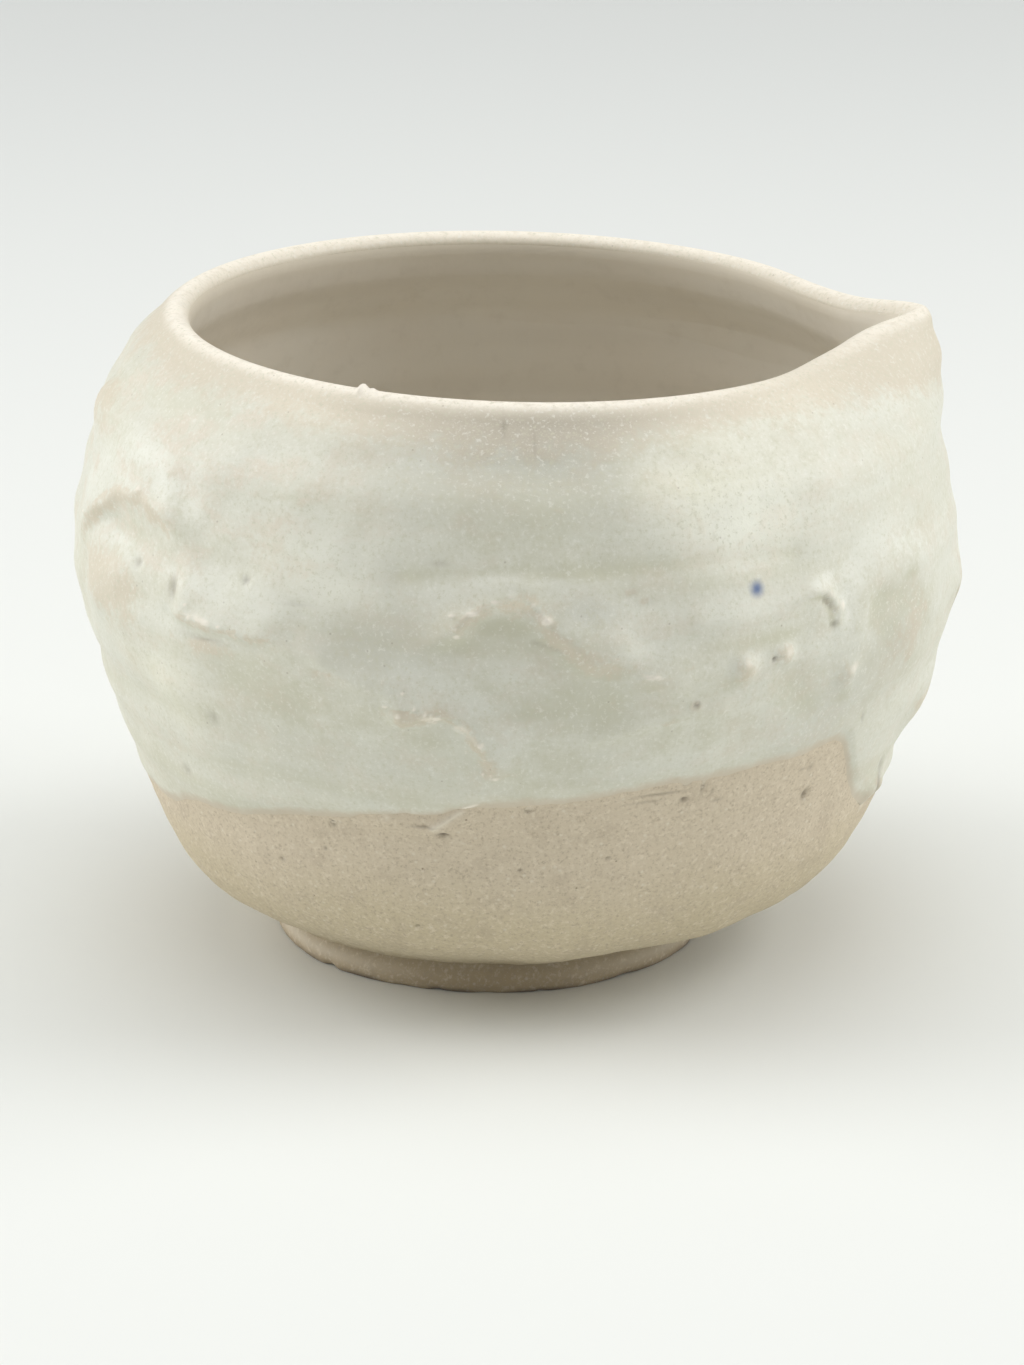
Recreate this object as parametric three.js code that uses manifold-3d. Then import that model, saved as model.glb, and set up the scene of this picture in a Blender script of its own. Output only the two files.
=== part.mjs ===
// A hand-thrown stoneware cup with a pulled pouring lip: a thrown clay wall on a low foot ring,
// coils, pads and pellets of clay pressed on the wall, a liner glaze inside and a dipped glaze outside.
// Millimetres, +Z up, the foot stands on z = 0, the lip points along +X.
import * as THREE from "three";
import { mergeVertices } from "three/addons/utils/BufferGeometryUtils.js";
import Module from "manifold-3d";

const wasm = await Module();
wasm.setup();

// Vessel.
const CUP_HEIGHT = 66; // table to the mean crest of the glazed rim
const BELLY_RADIUS = 44.8; // clay wall at its widest, outside
const MOUTH_RADIUS = 34.2; // clay rim, inside
const RIM_WALL = 2.6; // thickness of the clay at the rim
const RIM_DROP = 0.25; // outer corner of the rim below its crest, in thicknesses of the rim
const BASE_WALL = 3.4; // thickness of the clay at the foot of the wall
const WALL_TAPER = 1.5; // how late on the way up the wall thins to the rim
const FLOOR = 3.6; // thickness of the clay floor
const RIM_FALL = 0.027; // fall of the mouth towards the lip, per millimetre
const RIM_ZONE = 14; // height of wall below the crest that follows that fall
const OVER_CREST = 1.2; // points above the crest move on with it up to this share

// Outside of the wall between foot and rim: [share of BELLY_RADIUS, share of CUP_HEIGHT].
const WALL_OUTLINE = [
  [0.732, 0.138],
  [0.832, 0.235],
  [0.88, 0.33],
  [0.949, 0.47],
  [1.0, 0.62],
  [0.967, 0.79],
  [0.94, 0.868],
  [0.891, 0.915],
  [0.855, 0.943],
];

// Pouring lip.
const LIP_REACH = 6.8; // how far the lip stands out from the round of the mouth
const LIP_HALF_WIDTH = 3.9; // inside, halfway along the lip
const LIP_DEPTH = 10.5; // height of wall drawn out with the lip
const LIP_FLARE = 1.2; // how much of the lip's reach is kept for the top
const LIP_RISE = 1.5; // lift of the tip
const LIP_PINCH = 0.8; // how far the finger marks beside the lip go in
const LIP_PINCH_ANGLE = 27; // degrees from the lip to each finger mark
const LIP_PINCH_SPREAD = 11; // degrees
const LIP_FILLET = 2; // how much the liner narrows the lip, in its own thicknesses
const LIP_TAPER = 1.5; // how fast the outline of the lip falls off to the sides
const LIP_ROUNDING = 1.305; // spread of that outline in half widths

// Foot ring.
const FOOT_RADIUS = 22.3; // outside, at the table
const FOOT_WIDTH = 5; // breadth of the ring
const FOOT_HEIGHT = 2.8;
const FOOT_SHIFT = -2.6; // the ring sits off centre, away from the lip
const FOOT_ROUND = 0.7; // worn lower edge
const FOOT_TAPER = 0.6; // how much narrower the ring is at the top
const FOOT_LEDGE = 0.1; // how far the clay round the seat goes past the ring
const FOOT_LEAN = 4.5; // height of wall above the ring that leans over to it

// Coats and seats.
const GLAZE = 0.6; // outer coat
const LINER = 0.5; // inner coat
const SEAT_GAP = 0.3; // clearance between pieces
const DIP_SPARE = 4; // how far the coat is laid below the dip line before it is trimmed

// Dip line, the lower edge of the outer glaze: [degrees from the lip, share of CUP_HEIGHT].
const DIP_LINE = [
  [-155, 0.297],
  [-103, 0.382],
  [-62, 0.443],
  [-39, 0.43],
  [-34, 0.33],
  [-24, 0.285],
  [40, 0.275],
  [120, 0.29],
  [170, 0.28],
];

// Clay pressed on the wall. Places are [degrees from the lip, share of CUP_HEIGHT].
const COIL_RUN_OUT = 0.05; // how far the ends of a coil sink under the wall
const PAD_DEPTH = 2; // depth of a pad's full ball, in heights of the pad
const PELLET = 1.4; // half width of a pellet
const PELLET_HEIGHT = 0.9;
const COILS = [
  {
    name: "left_arch_coil",
    width: 5.0,
    height: 1.3,
    path: [[-163, 0.66], [-160, 0.75], [-150, 0.815], [-141, 0.81], [-136, 0.74]],
  },
  {
    name: "left_shelf_coil",
    width: 4.2,
    height: 1.0,
    path: [[-138, 0.65], [-130, 0.645], [-122, 0.655], [-113, 0.635]],
  },
  {
    name: "centre_arch_coil",
    width: 5.0,
    height: 1.2,
    path: [[-101, 0.67], [-97, 0.73], [-91, 0.755], [-85, 0.71], [-71, 0.61]],
  },
  {
    name: "centre_loop_coil",
    width: 3.6,
    height: 0.9,
    path: [[-107, 0.575], [-99, 0.578], [-95, 0.535], [-93, 0.485], [-95, 0.44]],
  },
  {
    name: "low_fold_coil",
    width: 2.8,
    height: 0.9,
    path: [[-115, 0.405], [-109, 0.388], [-103, 0.38], [-97, 0.4]],
  },
  {
    name: "right_curl_coil",
    width: 2.8,
    height: 1.0,
    path: [[-52, 0.703], [-48.5, 0.698], [-46.3, 0.665], [-47, 0.62]],
  },
  {
    name: "right_lobe_coil",
    width: 4.2,
    height: 1.0,
    path: [[-42, 0.6], [-41, 0.655], [-37, 0.7], [-31, 0.705], [-23, 0.645]],
  },
  {
    name: "back_arch_coil",
    width: 5.0,
    height: 1.2,
    path: [[60, 0.63], [64, 0.72], [72, 0.765], [80, 0.73], [85, 0.63]],
  },
  {
    name: "back_loop_coil",
    width: 3.6,
    height: 0.9,
    path: [[100, 0.6], [106, 0.65], [113, 0.63], [117, 0.55], [112, 0.47]],
  },
  {
    name: "back_slope_coil",
    width: 4.0,
    height: 1.0,
    path: [[24, 0.67], [34, 0.63], [44, 0.55]],
  },
];
const PADS = [
  { name: "left_pad", centre: [-151, 0.655], size: [4.8, 3.4], height: 1, turn: 0 },
  { name: "left_shoulder_pad", centre: [-168, 0.875], size: [5.5, 3.6], height: 1, turn: 10 },
  { name: "right_lobe_pad", centre: [-30, 0.595], size: [5.2, 4], height: 0.9, turn: 40 },
  { name: "lip_side_pad", centre: [-8, 0.6], size: [3.4, 3], height: 0.9, turn: 0 },
  { name: "low_right_pad", centre: [-14, 0.42], size: [4, 2.8], height: 0.9, turn: 60 },
  { name: "flake_pad", centre: [-23, 0.3], size: [4, 2.2], height: 0.9, turn: 65 },
  { name: "back_pad", centre: [92, 0.5], size: [4.6, 3.4], height: 1, turn: 20 },
];
const PELLETS = [
  [-67.5, 0.565],
  [-61.8, 0.626],
  [-55.9, 0.63],
  [-44.5, 0.535],
  [52, 0.56],
  [124, 0.58],
];

// Facets.
const AROUND = 52; // columns of the round pieces
const CROWD = 0.5; // how much the columns crowd towards the lip
const WALL_ROWS = 11; // outside, from foot to rim
const INSIDE_ROWS = 9; // inside, from foot to rim
const ROW_CROWD = 1.35; // how much the rows crowd towards the rim
const RIM_ROWS = 4;
const DIP_COLUMNS = 90; // columns of the dip line
const COIL_SIDES = 8;
const COIL_STEPS = 10;
const PAD_COLUMNS = 10;
const PAD_ROWS = 5;
const WELD = 1e-4; // corners nearer than this are one
const HALVINGS = 30; // steps in the search for a height on the wall
const TRIM_REACH = 2; // half width of the trimming block, in belly radii
const FULL_CIRCLE = 360;

const TURN = 2 * Math.PI;
const rad = THREE.MathUtils.degToRad;
const lerp = THREE.MathUtils.lerp;

const clayLook = new THREE.MeshStandardMaterial({ color: 0xb9ab8e, roughness: 0.9, metalness: 0 });
const footLook = new THREE.MeshStandardMaterial({ color: 0x9a8867, roughness: 0.95, metalness: 0 });
const glazeLook = new THREE.MeshStandardMaterial({ color: 0xdedccf, roughness: 0.45, metalness: 0 });
const linerLook = new THREE.MeshStandardMaterial({ color: 0xc3b9a4, roughness: 0.55, metalness: 0 });
const reliefLook = new THREE.MeshStandardMaterial({ color: 0xcfc0a2, roughness: 0.85, metalness: 0 });

// A closed geometry as a solid.
function solidOf(geometry) {
  const bare = geometry.clone();
  bare.deleteAttribute("normal");
  bare.deleteAttribute("uv");
  const merged = mergeVertices(bare, WELD);
  const index = merged.index.array;
  const kept = [];
  for (let i = 0; i < index.length; i += 3) {
    const [a, b, c] = index.slice(i, i + 3);
    if (a !== b && b !== c && c !== a) {
      kept.push(a, b, c);
    }
  }
  return new wasm.Manifold(
    new wasm.Mesh({
      numProp: 3,
      vertProperties: new Float32Array(merged.attributes.position.array),
      triVerts: new Uint32Array(kept),
    }),
  );
}

// A solid as a named mesh.
function meshOf(name, solid, look) {
  const data = solid.getMesh();
  const geometry = new THREE.BufferGeometry();
  geometry.setAttribute("position", new THREE.BufferAttribute(data.vertProperties, 3));
  geometry.setIndex(new THREE.BufferAttribute(data.triVerts, 1));
  geometry.computeVertexNormals();
  const mesh = new THREE.Mesh(geometry, look);
  mesh.name = name;
  return mesh;
}

// Share of the way up the rim zone, 0 below it and 1 at the crest.
function climb(z, zone) {
  return THREE.MathUtils.clamp((z - CUP_HEIGHT + zone) / zone, 0, OVER_CREST);
}

// Outline of the lip over the angle from it, 1 at the tip.
function lipOutline(angle, halfWidth) {
  const spread = (halfWidth * LIP_ROUNDING) / (MOUTH_RADIUS + LIP_REACH / 2);
  return (1 + (angle / spread) ** 2) ** -LIP_TAPER;
}

function pinchOutline(angle) {
  const off = (Math.abs(angle) - rad(LIP_PINCH_ANGLE)) / rad(LIP_PINCH_SPREAD);
  return Math.exp(-off * off);
}

// Moves a point of the round wall to its place with the lip, the falling mouth and the lean to the foot.
// "out" is how far the surface lies outside the clay wall.
function shaped(radius, z, angle, out) {
  const lip = lipOutline(angle, LIP_HALF_WIDTH + RIM_WALL + out);
  const pinch = pinchOutline(angle);
  const drawn = radius > 0 ? climb(z, LIP_DEPTH) ** LIP_FLARE : 0;
  const r = radius + drawn * (LIP_REACH * lip - LIP_PINCH * pinch);
  const fall = climb(z, RIM_ZONE) * RIM_FALL * radius * Math.cos(angle);
  const lift = drawn * drawn * LIP_RISE * lipOutline(angle, LIP_HALF_WIDTH + RIM_WALL);
  const upright = THREE.MathUtils.clamp((z - FOOT_HEIGHT) / FOOT_LEAN, 0, 1);
  const lean = FOOT_SHIFT * (1 - upright) ** 2;
  return new THREE.Vector3(r * Math.cos(angle) + lean, r * Math.sin(angle), z - fall + lift);
}

// Columns crowd towards the lip, where the wall bends most.
function crowded(angle) {
  return angle - CROWD * Math.sin(angle);
}

// Turns a section of {r, z, out} points round the axis and shapes it as the wall is shaped.
function turned(section) {
  const outline = section.map((p) => new THREE.Vector2(p.r, p.z));
  const geometry = new THREE.LatheGeometry(outline, AROUND);
  const position = geometry.attributes.position;
  const uv = geometry.attributes.uv;
  for (let i = 0; i < position.count; i += 1) {
    const row = section[Math.round(uv.getY(i) * (section.length - 1))];
    const column = Math.round(uv.getX(i) * AROUND) % AROUND;
    const angle = crowded((column / AROUND) * TURN - Math.PI);
    const at = shaped(row.r, row.z, angle, row.out);
    position.setXYZ(i, at.x, at.y, at.z);
  }
  return solidOf(geometry);
}

// Section of the clay wall: points with the direction that faces away from the clay.
const seatRadius = FOOT_RADIUS - FOOT_TAPER + FOOT_LEDGE;
const rimHeight = CUP_HEIGHT - SEAT_GAP - GLAZE - RIM_WALL * RIM_DROP;
const wallCurve = new THREE.CatmullRomCurve3(
  [
    new THREE.Vector3(seatRadius, 0, FOOT_HEIGHT),
    ...WALL_OUTLINE.map(([r, z]) => new THREE.Vector3(r * BELLY_RADIUS, 0, z * CUP_HEIGHT)),
    new THREE.Vector3(MOUTH_RADIUS + RIM_WALL, 0, rimHeight),
  ],
  false,
  "centripetal",
);

function wallAt(share) {
  const p = wallCurve.getPointAt(share);
  const t = wallCurve.getTangentAt(share);
  return { r: p.x, z: p.z, nr: t.z, nz: -t.x, out: 0 };
}

function insideAt(share) {
  const wall = wallAt(share);
  const thick = lerp(BASE_WALL, RIM_WALL, share ** WALL_TAPER);
  return {
    r: wall.r - wall.nr * thick,
    z: wall.z - wall.nz * thick,
    nr: -wall.nr,
    nz: -wall.nz,
    out: -thick,
  };
}

// Share of the way up one side of the wall at which that side reaches a height.
function shareAt(height, sideAt) {
  let low = 0;
  let high = 1;
  for (let i = 0; i < HALVINGS; i += 1) {
    const middle = (low + high) / 2;
    if (sideAt(middle).z < height) {
      low = middle;
    } else {
      high = middle;
    }
  }
  return low;
}

// Rows crowd towards the rim, where the wall bends most.
function rowShare(i, rows) {
  return 1 - (1 - i / rows) ** ROW_CROWD;
}

const outside = [];
for (let i = 0; i <= WALL_ROWS; i += 1) {
  outside.push(wallAt(rowShare(i, WALL_ROWS)));
}

const inside = [];
for (let i = 0; i <= INSIDE_ROWS; i += 1) {
  inside.push(insideAt(rowShare(i, INSIDE_ROWS)));
}

// A point on the rounding of the rim, from its outer end at 0 to its inner end at half a turn.
const rimTop = wallAt(1);
function rimAt(turn) {
  const nr = rimTop.nr * Math.cos(turn) - rimTop.nz * Math.sin(turn);
  const nz = rimTop.nz * Math.cos(turn) + rimTop.nr * Math.sin(turn);
  return {
    r: rimTop.r + (RIM_WALL / 2) * (nr - rimTop.nr),
    z: rimTop.z + (RIM_WALL / 2) * (nz - rimTop.nz),
    nr,
    nz,
    out: (RIM_WALL / 2) * (Math.cos(turn) - 1),
  };
}

const rim = [];
for (let i = 1; i < RIM_ROWS; i += 1) {
  rim.push(rimAt((i / RIM_ROWS) * Math.PI));
}
const outerRim = rim.slice(0, RIM_ROWS / 2 - 1);
const innerRim = rim.slice(RIM_ROWS / 2);
const crestTurn = Math.PI / 2;
const meetingTurn = SEAT_GAP / (RIM_WALL + 2 * SEAT_GAP); // half the clearance between the two coats

// A section point moved away from the clay.
function lifted(p, by) {
  const out = p.out > -RIM_WALL / 2 ? p.out + by : p.out - by * LIP_FILLET;
  return { ...p, r: p.r + p.nr * by, z: p.z + p.nz * by, out };
}

const floorTop = FOOT_HEIGHT + FLOOR;
const floorEdge = insideAt(shareAt(floorTop, insideAt));
const wallInside = [floorEdge, ...inside.filter((p) => p.z > floorEdge.z)];

const thrownBody = turned([
  { r: 0, z: FOOT_HEIGHT, out: 0 },
  ...outside,
  ...rim,
  ...wallInside.slice().reverse(),
  { r: 0, z: floorTop, out: 0 },
]);

// The wall as a filled block, with its outside moved out.
function filledWall(by) {
  return turned([
    { r: 0, z: FOOT_HEIGHT, out: 0 },
    ...[...outside, ...outerRim, rimAt(crestTurn)].map((p) => lifted(p, by)),
    { r: 0, z: CUP_HEIGHT, out: 0 },
  ]);
}

// The foot ring, flat on the table and flat against the underside of the body.
const footRing = solidOf(
  new THREE.LatheGeometry(
    [
      new THREE.Vector2(FOOT_RADIUS - FOOT_WIDTH, FOOT_HEIGHT),
      new THREE.Vector2(FOOT_RADIUS - FOOT_WIDTH, FOOT_ROUND),
      new THREE.Vector2(FOOT_RADIUS - FOOT_WIDTH + FOOT_ROUND, 0),
      new THREE.Vector2(FOOT_RADIUS - FOOT_ROUND, 0),
      new THREE.Vector2(FOOT_RADIUS, FOOT_ROUND),
      new THREE.Vector2(FOOT_RADIUS - FOOT_TAPER, FOOT_HEIGHT),
      new THREE.Vector2(FOOT_RADIUS - FOOT_WIDTH, FOOT_HEIGHT),
    ],
    AROUND,
  )
    .rotateX(Math.PI / 2)
    .translate(FOOT_SHIFT, 0, 0),
);

// A shell of glaze along a run of section points, clear of the clay.
function coat(run, thickness) {
  return turned([
    ...run.map((p) => lifted(p, SEAT_GAP + thickness)),
    ...run.slice().reverse().map((p) => lifted(p, SEAT_GAP)),
    lifted(run[0], SEAT_GAP + thickness),
  ]);
}

// The liner, from the crest of the rim to the middle of the floor.
const innerGlaze = coat(
  [
    rimAt(crestTurn + meetingTurn),
    ...innerRim,
    ...wallInside.slice().reverse(),
    { r: 0, z: floorTop, nr: 0, nz: 1, out: -BASE_WALL },
  ],
  LINER,
);

// Height of the dip line at an angle in degrees.
function dipHeight(degrees) {
  const points = [...DIP_LINE, [DIP_LINE[0][0] + FULL_CIRCLE, DIP_LINE[0][1]]];
  const angle = degrees < points[0][0] ? degrees + FULL_CIRCLE : degrees;
  const next = points.findIndex(([at]) => at >= angle);
  const [a0, s0] = points[Math.max(next - 1, 0)];
  const [a1, s1] = points[next];
  const share = a1 > a0 ? (angle - a0) / (a1 - a0) : 0;
  return CUP_HEIGHT * lerp(s0, s1, THREE.MathUtils.smoothstep(share, 0, 1));
}

// Everything under the dip line, to trim the outer coat with.
function belowDip() {
  const outline = [
    new THREE.Vector2(0, FOOT_HEIGHT),
    new THREE.Vector2(TRIM_REACH * BELLY_RADIUS, FOOT_HEIGHT),
    new THREE.Vector2(TRIM_REACH * BELLY_RADIUS, CUP_HEIGHT),
    new THREE.Vector2(FOOT_RADIUS, CUP_HEIGHT),
    new THREE.Vector2(0, CUP_HEIGHT),
  ];
  const geometry = new THREE.LatheGeometry(outline, DIP_COLUMNS).rotateX(Math.PI / 2);
  const position = geometry.attributes.position;
  for (let i = 0; i < position.count; i += 1) {
    const onAxis = Math.hypot(position.getX(i), position.getY(i)) < FOOT_RADIUS / 2;
    const angle = onAxis ? 0 : Math.atan2(position.getY(i), position.getX(i));
    if (position.getZ(i) > FOOT_HEIGHT) {
      position.setZ(i, dipHeight(THREE.MathUtils.radToDeg(angle)));
    }
  }
  return solidOf(geometry);
}

// Place on the clay wall at an angle and a height, sunk into the clay by a depth.
function wallPlace(degrees, height, depth) {
  const wall = wallAt(shareAt(height * CUP_HEIGHT, wallAt));
  const angle = rad(degrees);
  return {
    at: shaped(wall.r - wall.nr * depth, wall.z - wall.nz * depth, angle, -depth),
    normal: new THREE.Vector3(wall.nr * Math.cos(angle), wall.nr * Math.sin(angle), wall.nz),
    along: new THREE.Vector3(-Math.sin(angle), Math.cos(angle), 0),
  };
}

// Centre line of a coil along its path over the wall; at its ends it sinks and runs out in the clay.
function coilCentres({ path, height }, radius) {
  const spans = path.length - 1;
  const route = new THREE.CatmullRomCurve3(
    path.map(([degrees, share]) => new THREE.Vector3(rad(degrees) * BELLY_RADIUS, share * CUP_HEIGHT, 0)),
    false,
    "centripetal",
  );
  return route.getPoints(COIL_STEPS).map((place, i) => {
    const fromEnd = Math.min(i, COIL_STEPS - i) / COIL_STEPS;
    const risen = THREE.MathUtils.smoothstep(fromEnd * spans, 0, 1);
    const depth = lerp(radius + COIL_RUN_OUT, radius - height, risen);
    const degrees = THREE.MathUtils.radToDeg(place.x / BELLY_RADIUS);
    return wallPlace(degrees, place.y / CUP_HEIGHT, depth).at;
  });
}

// A round coil pressed into the wall along a path.
// Its radius is that of the circle whose cap has the coil's width and height.
function coilShape(coil, grow) {
  const radius = (coil.width * coil.width) / (8 * coil.height) + coil.height / 2;
  const centres = coilCentres(coil, radius);
  const ring = new THREE.Shape().absarc(0, 0, radius + grow, 0, TURN);
  return solidOf(
    new THREE.ExtrudeGeometry(ring, {
      steps: COIL_STEPS,
      curveSegments: COIL_SIDES / 2,
      extrudePath: new THREE.CatmullRomCurve3(centres, false, "centripetal"),
      bevelEnabled: false,
    }),
  );
}

// A flattened ball pressed into the wall.
function padShape({ centre, size, height, turn }, grow) {
  const [halfLength, halfBreadth] = size;
  const halfDepth = height * PAD_DEPTH;
  const place = wallPlace(centre[0], centre[1], halfDepth - height);
  const along = place.along.applyAxisAngle(place.normal, rad(turn));
  const across = new THREE.Vector3().crossVectors(along, place.normal);
  const basis = new THREE.Matrix4().makeBasis(along, place.normal, across).setPosition(place.at);
  const ball = new THREE.SphereGeometry(1, PAD_COLUMNS, PAD_ROWS);
  ball.scale(halfLength + grow, halfDepth + grow, halfBreadth + grow);
  return solidOf(ball.applyMatrix4(basis));
}

const reliefs = [
  ...COILS.map((item) => ({ name: item.name, shape: (grow) => coilShape(item, grow) })),
  ...PADS.map((item) => ({ name: item.name, shape: (grow) => padShape(item, grow) })),
  ...PELLETS.map((centre, i) => {
    const pellet = { centre, size: [PELLET, PELLET], height: PELLET_HEIGHT, turn: 0 };
    return { name: `pellet_${i + 1}`, shape: (grow) => padShape(pellet, grow) };
  }),
];

const seat = filledWall(SEAT_GAP);
const skin = filledWall(SEAT_GAP + GLAZE / 2);
const dipMin = Math.min(...DIP_LINE.map(([, share]) => share)) * CUP_HEIGHT;
let outerGlaze = coat(
  [
    ...outside.filter((p) => p.z > dipMin - DIP_SPARE),
    ...outerRim,
    rimAt(crestTurn - meetingTurn),
  ],
  GLAZE,
);
for (const relief of reliefs) {
  outerGlaze = outerGlaze.add(relief.shape(SEAT_GAP + GLAZE).subtract(skin));
}
for (const relief of reliefs) {
  outerGlaze = outerGlaze.subtract(relief.shape(SEAT_GAP));
}
outerGlaze = outerGlaze.subtract(belowDip());

const cup = new THREE.Group();
cup.name = "pouring_cup";
cup.add(meshOf("thrown_body", thrownBody, clayLook));
cup.add(meshOf("foot_ring", footRing, footLook));
cup.add(meshOf("inner_glaze", innerGlaze, linerLook));
cup.add(meshOf("outer_glaze", outerGlaze, glazeLook));
reliefs.forEach((relief, i) => {
  let piece = relief.shape(0).subtract(seat);
  for (const earlier of reliefs.slice(0, i)) {
    piece = piece.subtract(earlier.shape(SEAT_GAP));
  }
  cup.add(meshOf(relief.name, piece, reliefLook));
});

export default cup;
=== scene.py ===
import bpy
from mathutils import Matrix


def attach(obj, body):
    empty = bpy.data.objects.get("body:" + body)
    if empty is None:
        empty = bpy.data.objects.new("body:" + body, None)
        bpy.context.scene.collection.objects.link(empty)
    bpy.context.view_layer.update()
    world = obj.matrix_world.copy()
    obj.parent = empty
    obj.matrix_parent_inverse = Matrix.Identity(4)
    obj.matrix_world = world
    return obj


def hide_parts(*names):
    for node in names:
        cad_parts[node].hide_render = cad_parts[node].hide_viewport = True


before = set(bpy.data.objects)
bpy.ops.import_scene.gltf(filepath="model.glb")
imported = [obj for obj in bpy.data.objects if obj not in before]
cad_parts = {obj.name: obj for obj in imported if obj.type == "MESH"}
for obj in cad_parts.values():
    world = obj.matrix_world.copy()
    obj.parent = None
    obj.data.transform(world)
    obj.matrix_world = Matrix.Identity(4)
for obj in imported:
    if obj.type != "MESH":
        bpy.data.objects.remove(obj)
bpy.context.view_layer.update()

import math

import bpy
import numpy as np
from bpy.props import FloatProperty, FloatVectorProperty, IntProperty, PointerProperty

bl_info = {
    "name": "Pouring Cup",
    "version": (1, 0, 0),
    "blender": (4, 5, 0),
    "location": "View3D > Sidebar > Cup",
    "description": "Models a glazed stoneware pouring cup round its packed solids",
    "category": "Object",
}

# Every length is in metres; the tables below are written in millimetres and turned by MM.
# Angles on the wall are degrees from the lip, which points along +X; the front is at -90.
MM = 0.001
TURN = 2 * math.pi
BODY = "root"

# Outside of the clay wall between foot and rim: share of the belly's radius, share of the height.
WALL_OUTLINE = [
    (0.732, 0.138), (0.832, 0.235), (0.88, 0.33), (0.949, 0.47), (1.0, 0.62),
    (0.967, 0.79), (0.94, 0.868), (0.891, 0.915), (0.855, 0.943),
]

# Over the rim, in rim walls: out from the inside of the mouth, down from the crest.
RIM_OUTLINE = [(0.94, 0.56), (0.58, 0.2), (0.22, 0.0), (0.04, 0.1), (0.0, 0.34)]

# Where the thrown wall is out of round: degrees, height, amount, spread in degrees, spread in height.
OFF_ROUND = [
    (-178, 57.0, -0.6, 26, 4.0),
    (-178, 33.0, -0.4, 25, 3.5),
    (-160, 10.0, 0.7, 40, 5.0),
    (0, 37.5, 0.3, 26, 4.0),
    (0, 31.0, 0.2, 26, 2.5),
    (0, 24.5, -0.6, 26, 3.0),
]

# Lower edge of the dipped glaze: degrees, height.
DIP_LINE = [
    (-155, 19.6), (-142, 21.3), (-130, 22.9), (-113, 25.1), (-103, 25.6), (-96, 27.1),
    (-79, 28.2), (-62, 29.2), (-49, 29.3), (-41, 29.0), (-37.8, 27.0), (-34.5, 24.0), (-30, 20.8),
    (-24, 18.6), (0, 18.4), (40, 18.2), (120, 19.1), (170, 18.6),
]

# Lower edge of the thin warm glaze round the rim: degrees, height.
BAND_LINE = [
    (-150, 62.6), (-117, 62.2), (-92, 61.4), (-64, 62.3), (-46, 62.6), (-26, 61.6),
    (-4, 59.2), (30, 61.4), (90, 62.0), (150, 62.2),
]

# Coils of clay: path in degrees and height, height of the crest, half width outside and inside the bend,
# how much clay shows warm through the glaze on the crest.
COILS = {
    "left_arch_coil": (
        [(-165, 43.5), (-161.6, 48.0), (-156.6, 51.6), (-150.3, 53.4), (-144.2, 53.4),
         (-139.6, 51.8), (-136.7, 48.8)],
        0.95, 3.4, 1.6, 1.0,
    ),
    "left_shelf_coil": (
        [(-138.5, 44.2), (-134, 43.8), (-129, 43.6), (-124, 43.6), (-117, 43.0)],
        0.8, 3.6, 0.75, 0.85,
    ),
    "centre_arch_coil": (
        [(-101.5, 44.2), (-97.8, 46.4), (-95.4, 48.2), (-92, 49.2), (-88.3, 48.6), (-85.6, 46.8),
         (-82.3, 44.6), (-77.4, 42.6), (-70.5, 40.6)],
        1.0, 3.6, 1.3, 0.85,
    ),
    "centre_loop_coil": (
        [(-107, 38.2), (-103.5, 38.4), (-98.7, 37.9), (-95.1, 36.1), (-92.9, 32.6), (-93.6, 29.4)],
        0.75, 3.0, 1.2, 1.0,
    ),
    "low_fold_coil": (
        [(-115, 27.0), (-110, 25.4), (-104.4, 24.7), (-100.0, 24.6), (-96.5, 26.6)],
        0.5, 1.8, 1.0, 0.0,
    ),
    "right_curl_coil": (
        [(-52.5, 46.3), (-49.4, 46.5), (-47.2, 45.2), (-46.2, 43.6), (-46.6, 42.0)],
        0.4, 1.3, 0.6, 0.4,
    ),
    "right_lobe_coil": (
        [(-43.5, 39.5), (-43, 43.0), (-41, 45.8), (-35.5, 46.9), (-30, 45.6), (-25.5, 42.0)],
        0.5, 3.0, 2.3, 0.3,
    ),
    "back_arch_coil": (
        [(58, 40.5), (64, 47.5), (72, 50.4), (80, 48.2), (86, 41.0)],
        0.95, 3.6, 1.5, 0.85,
    ),
    "back_loop_coil": (
        [(99, 39.0), (106, 42.8), (113, 41.5), (117, 36.5), (112, 31.0)],
        0.6, 3.0, 1.3, 0.8,
    ),
    "back_slope_coil": (
        [(23, 44.6), (34, 41.5), (45, 36.0)],
        0.8, 3.2, 1.2, 0.7,
    ),
}

# Pads of clay: degrees, height, half length, half breadth, rise, turn in degrees.
PADS = {
    "left_pad": (-152.4, 43.8, 6.2, 3.4, 0.9, -6),
    "left_shoulder_pad": (-168, 57.6, 5.4, 3.6, 0.9, 10),
    "right_lobe_pad": (-31, 39.4, 5.4, 4.4, 0.35, 40),
    "lip_side_pad": (-8, 39.6, 3.4, 3.0, 0.6, 0),
    "low_right_pad": (-14, 27.8, 4.0, 2.8, 0.9, 60),
    "flake_pad": (-23, 20.0, 4.0, 2.2, 0.7, 65),
    "back_pad": (92, 33.0, 4.6, 3.4, 0.9, 20),
}

# Pellets of clay: degrees, height, half width, rise.
PELLETS = {
    "pellet_1": (-67.6, 38.0, 0.4, 0.2),
    "pellet_2": (-61.4, 41.2, 1.05, 0.6),
    "pellet_3": (-55.2, 41.3, 1.0, 0.45),
    "pellet_4": (-44.3, 37.8, 1.6, 0.75),
    "pellet_5": (52, 37.0, 1.2, 0.6),
    "pellet_6": (124, 38.3, 1.2, 0.6),
}

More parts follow.
